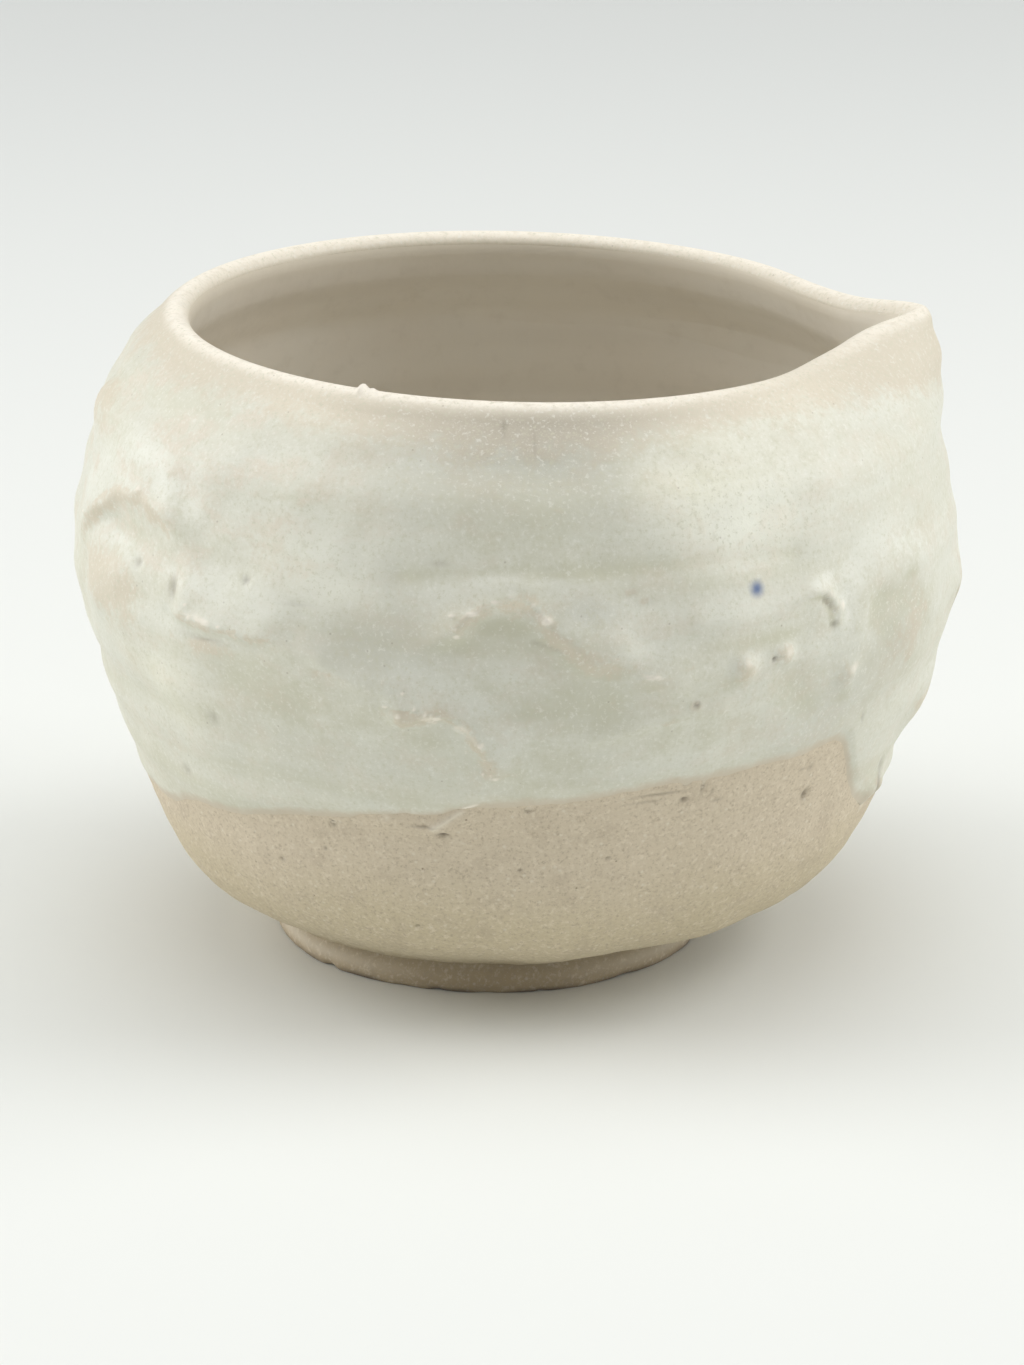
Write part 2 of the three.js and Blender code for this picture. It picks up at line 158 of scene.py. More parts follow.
# Soft swells and hollows of the wall itself: path, rise, half width outside and inside the bend.
SWELLS = [
    ([(-104, 51.0), (-92, 51.6), (-74, 51.8), (-53, 51.0)], -0.26, 1.3, 1.3),
    ([(-80, 35.2), (-72, 36.6), (-64, 37.2)], 0.28, 1.4, 0.8),
    ([(-114, 42.0), (-110, 40.6), (-106, 40.0)], 0.35, 1.6, 0.8),
    ([(-92, 40.5), (-84, 40.0), (-79, 38.0)], -0.45, 4.0, 4.0),
    ([(-36, 41.0), (-30, 42.0), (-27, 40.0)], -0.35, 2.6, 2.6),
    ([(-152, 48.6), (-146, 49.2)], -0.3, 2.2, 2.2),
    ([(-67, 45.7), (-58.4, 45.5), (-53, 46.2), (-50, 46.7)], 0.32, 1.6, 0.9),
    ([(-128, 38.6), (-118, 37.0)], -0.3, 3.0, 3.0),
    ([(-140, 35.0), (-135, 32.0)], 0.3, 3.0, 2.0),
    ([(-54, 38.0), (-50, 35.0)], -0.3, 2.6, 2.6),
]

# Warm smudges in the glaze: degrees, height, half width, half height, amount.
SMUDGES = [
    (-75.7, 49.4, 0.9, 0.7, 0.9),
    (-74.0, 48.5, 1.2, 0.5, 0.8),
    (-123.8, 47.6, 1.0, 0.6, 0.5),
    (-153.0, 43.6, 6.6, 3.4, 1.3),
    (-118.0, 40.6, 1.6, 0.8, 0.5),
    (-105.5, 37.6, 1.2, 0.7, 0.6),
    (-96.0, 34.8, 1.0, 1.8, 0.5),
    (-131.0, 41.2, 4.2, 0.9, 0.9),
    (-114.0, 41.0, 2.6, 0.6, 0.5),
    (-146.0, 37.0, 3.0, 1.2, 0.35),
    (-72.0, 36.4, 2.2, 0.4, 0.6),
    (-35.5, 30.4, 1.0, 2.0, 0.3),
]

# Pale (above 0) and greenish (below 0) patches of the glaze: degrees, height, half width, half height,
# amount. Most are the glaze's own colour; the rows marked below paint shade and light.
PATCHES = [
    (-91.5, 46.5, 4.2, 1.3, -1.0),
    (-97.5, 44.8, 2.2, 1.3, -0.7),
    (-86.0, 45.0, 2.4, 1.5, -0.8),
    (-88.5, 50.6, 2.6, 0.8, 0.8),
    (-82.0, 42.4, 2.0, 2.0, -0.7),
    (-87.0, 38.2, 6.0, 1.3, -0.8),
    (-99.5, 42.0, 4.0, 2.0, 0.5),
    (-101.0, 35.2, 3.4, 2.0, -0.6),
    (-99.0, 31.4, 2.4, 2.0, 0.4),
    (-113.0, 36.0, 5.0, 3.0, -0.4),
    (-150.0, 48.0, 6.4, 0.9, 0.9),
    (-127.0, 47.0, 3.6, 1.0, -0.4),
    (-128.0, 40.6, 5.0, 1.2, -0.6),
    (-58.0, 43.4, 6.4, 0.9, -0.8),
    (-61.0, 46.9, 5.0, 1.2, 0.5),
    (-44.0, 35.2, 1.4, 1.4, -0.7),
    (-62.8, 39.6, 2.0, 0.9, -0.6),
    (-66.5, 36.8, 1.8, 1.0, -0.5),
    (-52.0, 38.2, 3.0, 1.8, -0.5),
    (-30.6, 45.0, 1.8, 0.9, -0.8),
    (-62.0, 32.8, 13.0, 1.9, 0.55),
    # These two paint the shade along the throwing groove.
    (-80.0, 51.4, 13.0, 0.6, -0.8),
    (-61.0, 52.4, 8.0, 0.5, -0.8),
    # These paint light on the side flanks and shade on the front.
    (-118.5, 53.0, 7.0, 5.0, 0.6),
    (-61.5, 54.0, 8.0, 5.0, 0.8),
    (-88.0, 57.0, 13.0, 6.0, -0.55),
    (-88.0, 46.0, 12.0, 9.0, -0.3),
    (-90.0, 32.0, 14.0, 4.0, -0.45),
    # The rows below are the glaze's own colour again.
    (-89.0, 41.6, 3.8, 2.0, 0.9),
    (-83.2, 43.4, 2.0, 1.1, -0.9),
    (-78.6, 41.8, 2.4, 0.9, -0.8),
    (-74.0, 40.3, 2.4, 0.8, -0.7),
    (-94.0, 50.8, 3.8, 0.9, 0.9),
    (-81.0, 46.6, 2.6, 1.3, 0.2),
    (-75.0, 44.0, 3.0, 1.2, 0.9),
    (-95.0, 38.6, 2.6, 1.4, 0.8),
    (-91.5, 34.4, 1.3, 2.0, 0.8),
]

# Cream lines where the clay breaks through on a crest: path, half width, amount.
CREAM_LINES = [
    ([(-136.0, 44.2), (-132.5, 43.9), (-128.5, 43.7)], 0.4, 1.0),
    ([(-97.4, 47.2), (-95.2, 48.0), (-93.4, 48.5)], 0.3, 0.8),
    ([(-88.4, 48.4), (-86.6, 47.4), (-85.2, 46.7)], 0.42, 0.95),
    ([(-75.8, 41.9), (-72.8, 41.2), (-69.4, 40.8)], 0.26, 0.8),
    ([(-104.4, 38.4), (-101.0, 37.8), (-98.6, 37.2)], 0.34, 0.5),
    ([(-98.4, 37.5), (-95.6, 36.1), (-93.2, 33.7)], 0.42, 0.7),
    ([(-49.0, 47.1), (-47.2, 45.7), (-45.6, 43.9)], 0.36, 0.9),
    ([(-97.8, 26.9), (-96.2, 27.4), (-94.4, 28.0)], 0.34, 0.9),
    ([(64.0, 47.3), (68.0, 49.8), (72.0, 50.2)], 0.4, 0.8),
    ([(107.0, 42.6), (112.0, 41.6)], 0.35, 0.8),
]

# Dark lines in the glaze: painted shadows under the curl, the centre arch's crest and the flake, and a
# dark hair line on the loop: path, half width, depth, stain.
SHADOW_AND_CRACK_LINES = [
    ([(-49.6, 46.6), (-47.9, 45.1), (-46.4, 43.5)], 0.22, 0.2, 0.34),
    ([(-88.6, 45.4), (-86.4, 44.8), (-83.8, 44.0)], 0.2, 0.1, 0.2),
    ([(-104.2, 38.9), (-101.0, 38.2)], 0.16, 0.06, 0.25),
    ([(-23.9, 24.2), (-23.6, 21.4), (-23.4, 18.8)], 0.26, 0.25, 0.8),
]

# Painted light (above 0) and painted shade (below 0) on the glaze: degrees, height, half width, half
# height, change of brightness.
PAINTED_LIGHT_PATCHES = [
    (-92.0, 61.5, 11.0, 5.0, -0.14),
    (-78.0, 61.0, 6.0, 5.0, -0.06),
    (-66.0, 59.0, 6.0, 5.0, 0.16),
    (-57.0, 54.5, 7.0, 4.0, 0.16),
    (-119.0, 57.0, 6.0, 6.0, 0.05),
    (-118.0, 51.0, 5.0, 3.0, 0.08),
    (-84.0, 64.4, 12.0, 2.2, -0.2),
    (-90.0, 61.5, 9.0, 2.5, -0.05),
    (-81.0, 47.8, 3.0, 1.6, -0.12),
    (-107.0, 44.5, 5.0, 4.0, -0.12),
    (-111.5, 48.8, 4.0, 2.0, 0.1),
    (-90.5, 48.9, 3.6, 0.9, 0.14),
    (-140.0, 36.0, 6.0, 5.0, 0.1),
    (-124.0, 66.0, 6.0, 2.2, 0.1),
    (-44.0, 64.6, 9.0, 3.0, 0.08),
    (-36.0, 39.0, 8.0, 7.0, -0.12),
    (-48.0, 32.0, 8.0, 5.0, -0.1),
    (-122.0, 33.0, 7.0, 5.0, -0.06),
    (-88.0, 38.0, 14.0, 9.0, -0.06),
]

# Larger crumbs of clay on the crests: degrees, height, half width, half height, rise.
CRUMBS = [
    (-86.4, 47.2, 0.55, 0.4, 0.3),
    (-95.2, 47.9, 0.6, 0.3, 0.2),
    (-92.6, 49.0, 0.4, 0.25, 0.1),
    (-99.6, 37.8, 0.55, 0.34, 0.18),
    (-94.3, 35.2, 0.35, 0.36, 0.18),
    (-73.4, 41.3, 0.8, 0.2, 0.15),
    (-46.0, 44.9, 0.3, 0.6, 0.2),
]

# Speck of cobalt in the glaze: degrees, height, half width.
BLUE_SPECK = (-59.0, 48.3, 1.25)

# Crumbs of clay caught in the rim: degrees, share of the way over the rim, half width, rise.
RIM_CRUMBS = [(-115.2, 1.0, 0.4, 0.55), (-113.6, 1.0, 0.3, 0.25)]

# Pits and dark marks in the glaze: degrees, height, half width, half height, depth, stain.
GLAZE_MARKS = [
    (-125.3, 48.5, 0.35, 0.40, 0.22, 0.55),
    (-145.5, 46.9, 0.45, 0.5, 0.25, 0.5),
    (-142.3, 25.5, 0.7, 0.7, 0.20, 0.3),
    (-132.2, 33.6, 0.7, 0.9, 0.16, 0.3),
    (-99.4, 52.4, 0.9, 0.35, 0.08, 0.25),
    (-117.5, 47.2, 1.6, 0.25, 0.08, 0.16),
    (-131.5, 41.9, 2.6, 0.22, 0.14, 0.3),
    (-67.5, 38.0, 0.34, 0.36, 0.24, 0.9),
    (-56.8, 41.3, 0.25, 0.23, 0.3, 1.0),
    (-47.6, 43.3, 0.3, 0.3, 0.2, 0.7),
    (-37.2, 31.4, 0.2, 0.6, 0.12, 0.4),
    (-91.8, 63.4, 0.2, 1.1, 0.05, 0.35),
    (-91.8, 64.2, 0.3, 0.3, 0.06, 0.4),
    (-87.4, 62.4, 0.2, 1.2, 0.03, 0.25),
    (-75.7, 49.4, 0.9, 0.6, 0.0, 0.13),
    (-74.0, 48.5, 1.1, 0.5, 0.0, 0.12),
    (-137.3, 45.9, 0.5, 1.2, 0.3, 0.6),
    (-10.0, 38.2, 0.4, 1.2, 0.25, 0.6),
]

# Pits and scars in the bare clay: degrees, height, half width, half height, depth, stain.
CLAY_MARKS = [
    (-100.1, 23.9, 0.62, 0.3, 0.42, 0.9),
    (-102.6, 25.0, 1.2, 0.18, 0.2, 0.6),
    (-88.4, 27.0, 0.3, 0.26, 0.26, 1.0),
    (-66.8, 26.9, 0.4, 0.3, 0.3, 0.9),
    (-64.3, 28.1, 0.2, 0.8, 0.2, 0.5),
    (-66.9, 28.9, 0.3, 0.3, 0.2, 0.6),
    (-61.7, 26.3, 0.6, 0.16, 0.16, 0.5),
    (-62.6, 27.4, 0.16, 0.5, 0.16, 0.5),
    (-70.5, 28.0, 2.6, 0.11, 0.12, 0.4),
    (-72.5, 27.2, 2.0, 0.1, 0.1, 0.3),
    (-44.8, 23.9, 0.34, 0.75, 0.36, 0.7),
    (-45.5, 27.1, 0.24, 0.5, 0.2, 0.5),
    (-47.2, 27.3, 0.5, 0.14, 0.14, 0.4),
    (-116.4, 23.6, 0.34, 0.4, 0.24, 0.64),
    (-126.8, 18.0, 0.3, 0.3, 0.2, 0.5),
    (-76.9, 21.0, 0.26, 0.2, 0.2, 0.72),
    (-89.4, 19.8, 0.24, 0.2, 0.16, 0.64),
    (-105.6, 12.6, 0.28, 0.2, 0.2, 0.64),
    (-118.6, 20.4, 0.24, 0.24, 0.16, 0.5),
]

# Pale creases in the bare clay: path, rise, half width above and below.
CREASES = [
    ([(-102.4, 24.7), (-99.8, 25.8), (-96.6, 27.3)], 0.45, 0.5, 0.35),
    ([(-109.8, 26.5), (-107.8, 25.0)], 0.2, 0.5, 0.3),
]

# Lamps: breadth and place, in metres.
LAMPS = {
    "overhead": (0.9, (0.0, 0.0, 1.0)),
    "left": (0.7, (-0.8, 0.05, 0.62)),
    "right": (0.7, (0.8, 0.05, 0.62)),
    "front": (0.7, (0.0, -0.9, 0.6)),
    "low_left": (0.7, (-1.0, 0.25, 0.12)),
    "low_right": (0.7, (1.0, 0.25, 0.12)),
}

# Chips in the lower edge of the foot: degrees, half width in degrees, depth.
FOOT_CHIPS = [
    (-137, 2.0, 0.25), (-104, 1.6, 0.18), (-77, 1.2, 0.1), (-52, 3.0, 0.16),
    (-20, 2.0, 0.15), (35, 3.0, 0.25), (108, 2.0, 0.2), (165, 3.0, 0.2),
]

LIP_ROUNDING = 1.305  # spread of the lip's outline in half widths
LIP_TAPER = 1.5  # how fast the outline of the lip falls off to the sides
LIP_FLARE = 1.2  # how much of the lip's reach is kept for the top
LIP_KEPT = 0.6  # most of the lip's half width that its wall takes up
PINCH_ANGLE = 27  # degrees from the lip to each finger mark
PINCH_SPREAD = 11  # degrees
FLANK_POWER = 1.8  # how square the flanks of swells and coils are
END_SHARE = 0.2  # share of a coil over which each end sinks
END_HEIGHT = 0.35  # height of a coil's end, of its crest
COIL_LUMPS = 0.14  # unevenness of a coil's crest
PAD_LUMPS = 0.12  # unevenness of a pad
SPLINE_STEPS = 24  # points between two points of a path
WELD = 1e-6  # points nearer than this are one
SCALE = 45.0  # a path's degrees and millimetres are curved in units of this
PIT_EDGE = 1.2  # how much sharper a pit's stain is than its hollow
CREAM_RISE = 0.12 * MM  # how far a line of bare clay stands out
CRUMBS_PER_COIL = 18  # on a coil with a warm crest
CRUMBS_SPARED = 6  # fewer on every coil
FRONT_CROWD = 0.5  # how much the columns crowd to the front
BARE_TO = 34 * MM  # height up to which the clay has fine rows
RELIEF_TO = 54 * MM  # height up to which the coat has fine rows
DEGREE_LENGTH = 0.77  # millimetres along the wall for a degree, near enough for a heading
WALL_RADIUS = 44  # millimetres, about the belly, for turning lengths along the wall to degrees
COIL_SHARE = 0.7  # breadth of a coil's clay, of the swelling that it makes in the coat
PAD_SHARE = 0.8  # the same of a pad or a pellet
PATH_REACH = 14 * MM  # farthest from a path that it is felt
NARROW_WALL = 40 * MM  # a radius of the wall, for turning that reach to an angle
WAVE_LENGTHS = (1.4, 3.2)  # shortest and longest wave of an uneven field, in lumps
FLOOR_TURN = 4 * MM  # height over the inside floor at which the wall turns in
DRIFT = 0.3 * MM  # how far the flanks of coils and pads wander
DRIFT_SIZE = 3.0 * MM
LUMP_SIZE = 3.2 * MM
DRIFT_SEED = 31
LUMP_SEED = 33
HOLLOW_POOL = 0.7  # how green the glaze is in a hollow
FLANK_END = 2.2  # where a coil's flank runs out, in its widths
FLANK_FADE = 0.3  # how soon it does
PAD_POWER = 2.2  # how square the flanks of pads are
PAD_FALL = 1.1  # how steep they are
PAD_WARM_TO = 0.85  # where the warm top of a pad ends, in its half lengths
PELLET_WARM_TO = 1.2  # the same of a pellet
WARM_TOP = 0.8  # how warm the tops of pads and pellets are
TIP = (0.3, 0.35)  # along and up to a pellet's bare tip, in its half widths
TIP_HALF = 0.55  # half width of the tip, in the same
TIP_BARE = 0.6  # how bare it is
GREEN_OVER_PALE = 0.7  # how much of the pale a greenish patch takes away
CRUMB_STRETCH = (0.1, 0.9)  # shares of a coil between which its crumbs lie
CRUMB_DEGREE = 0.75  # millimetres along the wall for a degree, where crumbs lie
CRUMB_SPREAD = 0.5  # millimetres, as the sizes of the crumbs below
CRUMB_WIDE = (0.18, 0.4)
CRUMB_TALL = (0.15, 0.26)
CRUMB_RISE = (0.08, 0.2)
CRUMB_BARE = (0.5, 1.0)  # how bare of glaze a crumb is

# Unevenness of the surfaces: amount, size of the lumps, seed, number of waves.
CLAY_WAVES = [(0.08, 9, 5, 14), (0.03, 3, 6, 14)]
COAT_WAVES = [(0.07, 7, 8, 14), (0.03, 3.4, 9, 14), (0.006, 1.3, 10, 20)]
HEM_WAVES = [(0.05, 1.2, 3, 14), (0.16, 5, 4, 14)]
FOOT_WAVES = [(0.1, 9, 11, 14), (0.025, 2, 12, 14)]
FOOT_NICKS = [(0.03, 1.5, 13, 14)]

# Slow unevenness of the liner: turns round the cup, pitch down the wall and amount in metres.
LINER_WAVES = [(3, 0.04, 0.10 * MM), (5, 0.02, 0.06 * MM), (11, 0.012, 0.03 * MM)]
LINER_SEED = 21


def smooth_path(points, steps=SPLINE_STEPS):
    """Points along a smooth curve through the given points, evenly paced between each pair."""
    p = np.asarray(points, float)
    p = np.vstack([2 * p[0] - p[1], p, 2 * p[-1] - p[-2]])
    gaps = np.sqrt(np.linalg.norm(np.diff(p, axis=0), axis=1))
    knot = np.concatenate([[0.0], np.cumsum(gaps)])
    rows = []
    for i in range(1, len(p) - 2):
        t = np.linspace(knot[i], knot[i + 1], steps, endpoint=False)[:, None]

        def mix(a, b, ka, kb):
            return ((kb - t) * a + (t - ka) * b) / (kb - ka)

        first = mix(p[i - 1], p[i], knot[i - 1], knot[i])
        middle = mix(p[i], p[i + 1], knot[i], knot[i + 1])
        last = mix(p[i + 1], p[i + 2], knot[i + 1], knot[i + 2])
        early = mix(first, middle, knot[i - 1], knot[i + 1])
        late = mix(middle, last, knot[i], knot[i + 2])
        rows.append(mix(early, late, knot[i], knot[i + 1]))
    rows.append(p[-2:-1])
    return np.vstack(rows)


def smooth_step(x):
    """0 below 0, 1 above 1, and an even ease between."""
    x = np.clip(x, 0.0, 1.0)
    return x * x * (3.0 - 2.0 * x)


def bell(x, half):
    """1 where x is 0, fading to 0 on both sides over about twice the half."""
    return np.exp(-((x / half) ** 2))


def about(degrees, at, spread):
    """1 at an angle, fading to 0 on both sides of it, all in degrees."""
    return bell((degrees - at + 180) % 360 - 180, spread)


def round_about(degrees, line):
    """Height of a line of (degrees, millimetres) all round the cup, at angles in degrees."""
    ring = [(d + turn, z) for turn in (-360, 0, 360) for d, z in line]
    curve = smooth_path(ring, 8)
    return np.interp(degrees, curve[:, 0], curve[:, 1]) * MM


def ripple(angle, along, waves, seed):
    """Slow unevenness that closes round the cup: waves are (turns, pitch, amount)."""
    random = np.random.default_rng(seed)
    total = np.zeros_like(angle)
    for turns, pitch, amount in waves:
        shift = random.uniform(0.0, TURN)
        total += amount * np.cos(turns * angle + TURN * along / pitch + shift)
    return total


def uneven(angle, along, grain, seed, around=WALL_RADIUS * MM, waves=14):
    """A random field over the wall that closes round the cup, about 1 high, with lumps of one size."""
    random = np.random.default_rng(seed)
    total = np.zeros_like(angle)
    for _ in range(waves):
        length = grain * random.uniform(*WAVE_LENGTHS)
        heading = random.uniform(0.0, math.pi)
        turns = round(TURN * around * math.cos(heading) / length)
        climb = TURN * math.sin(heading) / length
        total += np.cos(turns * angle + climb * along + random.uniform(0.0, TURN))
    return total * math.sqrt(2.0 / waves)


def unevenness(angle, along, table, around=WALL_RADIUS * MM):
    """Random fields laid over one another, from rows of amount, size of the lumps, seed and waves."""
    return sum(
        amount * MM * uneven(angle, along, grain * MM, seed, around, waves)
        for amount, grain, seed, waves in table
    )


def wheel_rings(angle, run, pitch, height):
    """Fine rings from the turning of the wheel."""
    return height * np.sin(TURN * run / pitch + np.sin(angle))


class Wall:
    """Section of the clay wall, and how the wall is drawn out at the lip."""

    def __init__(self, size):
        self.size = size
        crest = size.height - size.coat_gap - size.glaze
        outside = [(size.seat_radius, size.foot_height)]
        outside += [(r * size.belly_radius, z * size.height) for r, z in WALL_OUTLINE]
        rim = [(size.mouth_radius + size.rim_wall * a, crest - size.rim_wall * b) for a, b in RIM_OUTLINE]
        curve = smooth_path(outside + rim)
        corner = len(outside) * SPLINE_STEPS
        outer = curve[: corner + 1]
        round_rim = curve[corner + 1:]
        away = self.outward(curve)[: corner + 1]
        share = np.linspace(0.0, 1.0, len(outer))
        thick = size.base_wall + (size.rim_wall - size.base_wall) * share**size.wall_taper
        inner = outer - away * thick[:, None]
        floor = size.foot_height + size.floor
        kept = inner[inner[:, 1] > floor + FLOOR_TURN][::-1][SPLINE_STEPS // 2:]
        throat = smooth_path([rim[-2], rim[-1], kept[0], kept[SPLINE_STEPS]])
        throat = throat[SPLINE_STEPS + 1:2 * SPLINE_STEPS]
        low_radius = kept[-1][0]
        turn_in = (low_radius * 0.72, floor + 0.6 * MM)
        flat = (low_radius * 0.4, floor)
        bowl = smooth_path([kept[-2], kept[-1], turn_in, flat, (0.0, floor)])[SPLINE_STEPS:]
        section = np.vstack([outer, round_rim, throat, kept, bowl])
        self.run = np.concatenate([[0.0], np.cumsum(np.linalg.norm(np.diff(section, axis=0), axis=1))])
        self.section = section
        self.away = self.outward(section)
        self.top = self.run[corner]
        self.crest = self.run[(len(outside) + 2) * SPLINE_STEPS]
        self.over = self.run[len(curve) - 1]
        self.end = self.run[-1]
        across = np.clip((outer[-1][0] - section[:, 0]) / (outer[-1][0] - rim[-1][0]), 0.0, 1.0)
        across[: corner + 1] = 0.0
        across[len(curve):] = 1.0
        self.depth = -size.rim_wall * across
        self.outer = outer
        self.outer_run = self.run[: len(outer)]

    @staticmethod
    def outward(points):
        """Direction away from the clay at each point of a section that climbs its outside."""
        step = np.gradient(points, axis=0)
        step /= np.linalg.norm(step, axis=1)[:, None] + 1e-12
        return np.stack([step[:, 1], -step[:, 0]], axis=1)

    def run_at(self, height):
        """Way up the outside of the wall to a height."""
        return np.interp(height, self.outer[:, 1], self.outer_run)

    def place(self, run, angle, lift):
        """Points of the wall at a way along its section and an angle, lifted off the clay."""
        r = np.interp(run, self.run, self.section[:, 0])
        z = np.interp(run, self.run, self.section[:, 1])
        nr = np.interp(run, self.run, self.away[:, 0])
        nz = np.interp(run, self.run, self.away[:, 1])
        out = np.interp(run, self.run, self.depth)
        lift = lift + self.out_of_round(angle, z) * (nr > 0)
        return self.drawn_out(np.maximum(r + nr * lift, 0.0), z + nz * lift, angle, out)

    def out_of_round(self, angle, z):
        """How far the thrown wall stands out of its round section."""
        degrees = np.degrees(angle)
        total = np.zeros_like(z)
        for at, height, amount, wide, tall in OFF_ROUND:
            total += amount * MM * about(degrees, at, wide) * bell(z - height * MM, tall * MM)
        return total

    def drawn_out(self, r, z, angle, out):
        """Moves points of the round wall to the wall with its lip, falling mouth and lean to the foot."""
        size = self.size
        angle = (angle + math.pi) % TURN - math.pi

        def climb(zone):
            return np.clip((z - size.height + zone) / zone, 0.0, 1.2)

        def lip(half_width):
            spread = half_width * LIP_ROUNDING / (size.mouth_radius + size.lip_reach / 2)
            return (1 + (angle / spread) ** 2) ** -LIP_TAPER

        half = size.lip_half_width + size.rim_wall
        pinch = about(np.abs(np.degrees(angle)), PINCH_ANGLE, PINCH_SPREAD)
        drawn = np.where(r > 0, climb(size.lip_depth) ** LIP_FLARE, 0.0)
        inside = np.maximum(out, -half * LIP_KEPT)
        reach = drawn * (size.lip_reach * lip(half + inside) - size.lip_pinch * pinch)
        fall = climb(size.rim_zone) * size.rim_fall * r * np.cos(angle)
        lift = drawn**2 * size.lip_rise * lip(half)
        upright = np.clip((z - size.foot_height) / size.foot_lean, 0.0, 1.0)
        lean = size.foot_shift * (1 - upright) ** 2
        out = r + reach
        return np.stack([out * np.cos(angle) + lean, out * np.sin(angle), z - fall + lift], axis=1)


class Relief:
    """Height of the pressed-on clay over the wall, and marks for the finishes, at many places at once."""

    def __init__(self, wall, run, angle):
        self.wall = wall
        self.run = run
        self.angle = angle
        self.radius = np.interp(run, wall.run, wall.section[:, 0])
        self.rise = np.zeros_like(run)
        self.crest = np.zeros_like(run)
        self.pale = np.zeros_like(run)
        self.pool = np.zeros_like(run)
        self.stain = np.zeros_like(run)
        self.crumb = np.zeros_like(run)
        self.tone = np.zeros_like(run)
        self.drift = DRIFT * uneven(angle, run, DRIFT_SIZE, DRIFT_SEED)
        self.lumps = uneven(angle, run, LUMP_SIZE, LUMP_SEED)

    def spot(self, degrees, height):
        """Distances along and up the wall from a place on it."""
        off = (self.angle - math.radians(degrees) + math.pi) % TURN - math.pi
        return off * self.radius, self.run - self.wall.run_at(height * MM)

    def soft(self, degrees, height, half_width, half_height):
        """1 at a place on the wall, fading to 0 about it."""
        x, y = self.spot(degrees, height)
        return bell(x, half_width * MM) * bell(y, half_height * MM)

    def beside(self, path):
        """Nearest point of a path on the wall: how far it is, to which side (1 outer, -1 inner; between
        them past an end), and its share of the way along."""
        line = smooth_path([(d / SCALE, z / SCALE) for d, z in path], 10) * SCALE
        middle = math.radians(line[:, 0].mean())
        off = (self.angle - middle + math.pi) % TURN - math.pi
        spread = np.radians(line[:, 0]) - middle
        here = self.radius * off
        best = np.full_like(self.run, 1.0)
        lean = np.zeros_like(self.run)
        share = np.zeros_like(self.run)
        up = self.wall.run_at(line[:, 1] * MM)
        near = np.flatnonzero(
            (off > spread.min() - PATH_REACH / NARROW_WALL)
            & (off < spread.max() + PATH_REACH / NARROW_WALL)
            & (self.run > up.min() - PATH_REACH)
            & (self.run < up.max() + PATH_REACH)
        )
        for i in range(len(line) - 1):
            ax = self.radius[near] * spread[i]
            bx = self.radius[near] * spread[i + 1]
            px = here[near] - ax
            py = self.run[near] - up[i]
            dx = bx - ax
            dy = up[i + 1] - up[i]
            t = np.clip((px * dx + py * dy) / (dx * dx + dy * dy + 1e-18), 0.0, 1.0)
            far = np.hypot(px - t * dx, py - t * dy)
            better = far < best[near]
            index = near[better]
            best[index] = far[better]
            lean[index] = ((dx * py - dy * px) / (np.hypot(dx, dy) * far + 1e-9))[better]
            share[index] = ((i + t) / (len(line) - 1))[better]
        return best, np.clip(lean, -1.0, 1.0), share

    def add_swell(self, path, rise, outside, inside):
        """A soft swell or hollow of the wall itself."""
        far, lean, _ = self.beside(path)
        width = ((outside + inside) / 2 + (outside - inside) / 2 * lean) * MM
        flank = np.exp(-((far / width) ** FLANK_POWER))
        self.rise = self.rise + rise * MM * flank
        if rise < 0:
            self.pool = np.maximum(self.pool, HOLLOW_POOL * flank)

    def add_ridge(self, path, rise, outside, inside, warm):
        """A coil of clay under the wall's coat: its outer flank is long and its inner one short."""
        far, lean, share = self.beside(path)
        far = np.abs(far + lean * self.drift)
        gap = far * np.sign(lean)
        width = ((outside + inside) / 2 + (outside - inside) / 2 * lean) * MM
        ends = smooth_step(share / END_SHARE) * smooth_step((1 - share) / END_SHARE)
        body = rise * MM * np.exp(-((far / width) ** FLANK_POWER)) * (1 + COIL_LUMPS * self.lumps)
        body = body * (END_HEIGHT + (1 - END_HEIGHT) * ends)
        self.join(body * np.exp(-(np.maximum(far - FLANK_END * width, 0) / (FLANK_FADE * width))))

        def stripe(middle, half):
            return bell(gap - middle * MM, half * MM) * ends

        # Thin and warm just inside the crest, deep and pale on the outer flank, green at the inner foot.
        self.crest = np.maximum(self.crest, warm * stripe(-0.5 * inside, 0.2 + 0.7 * inside))
        self.pale = np.maximum(self.pale, stripe(0.9 * outside, 0.6 * outside))
        self.pool = np.maximum(self.pool, (1.3 - warm) * stripe(-1.5 * inside, 0.8 * inside))

    def join(self, body):
        """Adds a swelling of clay that melts into those there already."""
        here = np.maximum(self.rise, 0)
        self.rise = (here**3 + np.maximum(body, 0) ** 3) ** (1 / 3) + np.minimum(self.rise, 0)

    def add_pad(self, degrees, height, half_length, half_breadth, rise, turn=0.0):
        """A flattened ball of clay pressed on the wall."""
        x, y = self.spot(degrees, height)
        c = math.cos(math.radians(turn))
        s = math.sin(math.radians(turn))
        u = (x * c + y * s) / (half_length * MM)
        v = (y * c - x * s) / (half_breadth * MM)
        far = np.maximum(np.hypot(u, v) + self.drift / (half_breadth * MM), 0.0)
        self.join(rise * MM * np.exp(-(far**PAD_POWER) * PAD_FALL) * (1 + PAD_LUMPS * self.lumps))
        self.crest = np.maximum(self.crest, WARM_TOP * np.exp(-((far / PAD_WARM_TO) ** 3)))

    def add_pellet(self, degrees, height, half, rise):
        """A pellet of clay: warm at its foot, with a pale bare tip."""
        x, y = self.spot(degrees, height)
        far = np.maximum(np.hypot(x, y) + self.drift, 0.0) / (half * MM)
        tip = np.hypot(x - TIP[0] * half * MM, y - TIP[1] * half * MM) / (half * MM)
        self.join(rise * MM * bell(far, 1.0))
        self.crest = np.maximum(self.crest, WARM_TOP * bell(far, PELLET_WARM_TO))
        self.crumb = np.maximum(self.crumb, TIP_BARE * bell(tip, TIP_HALF))

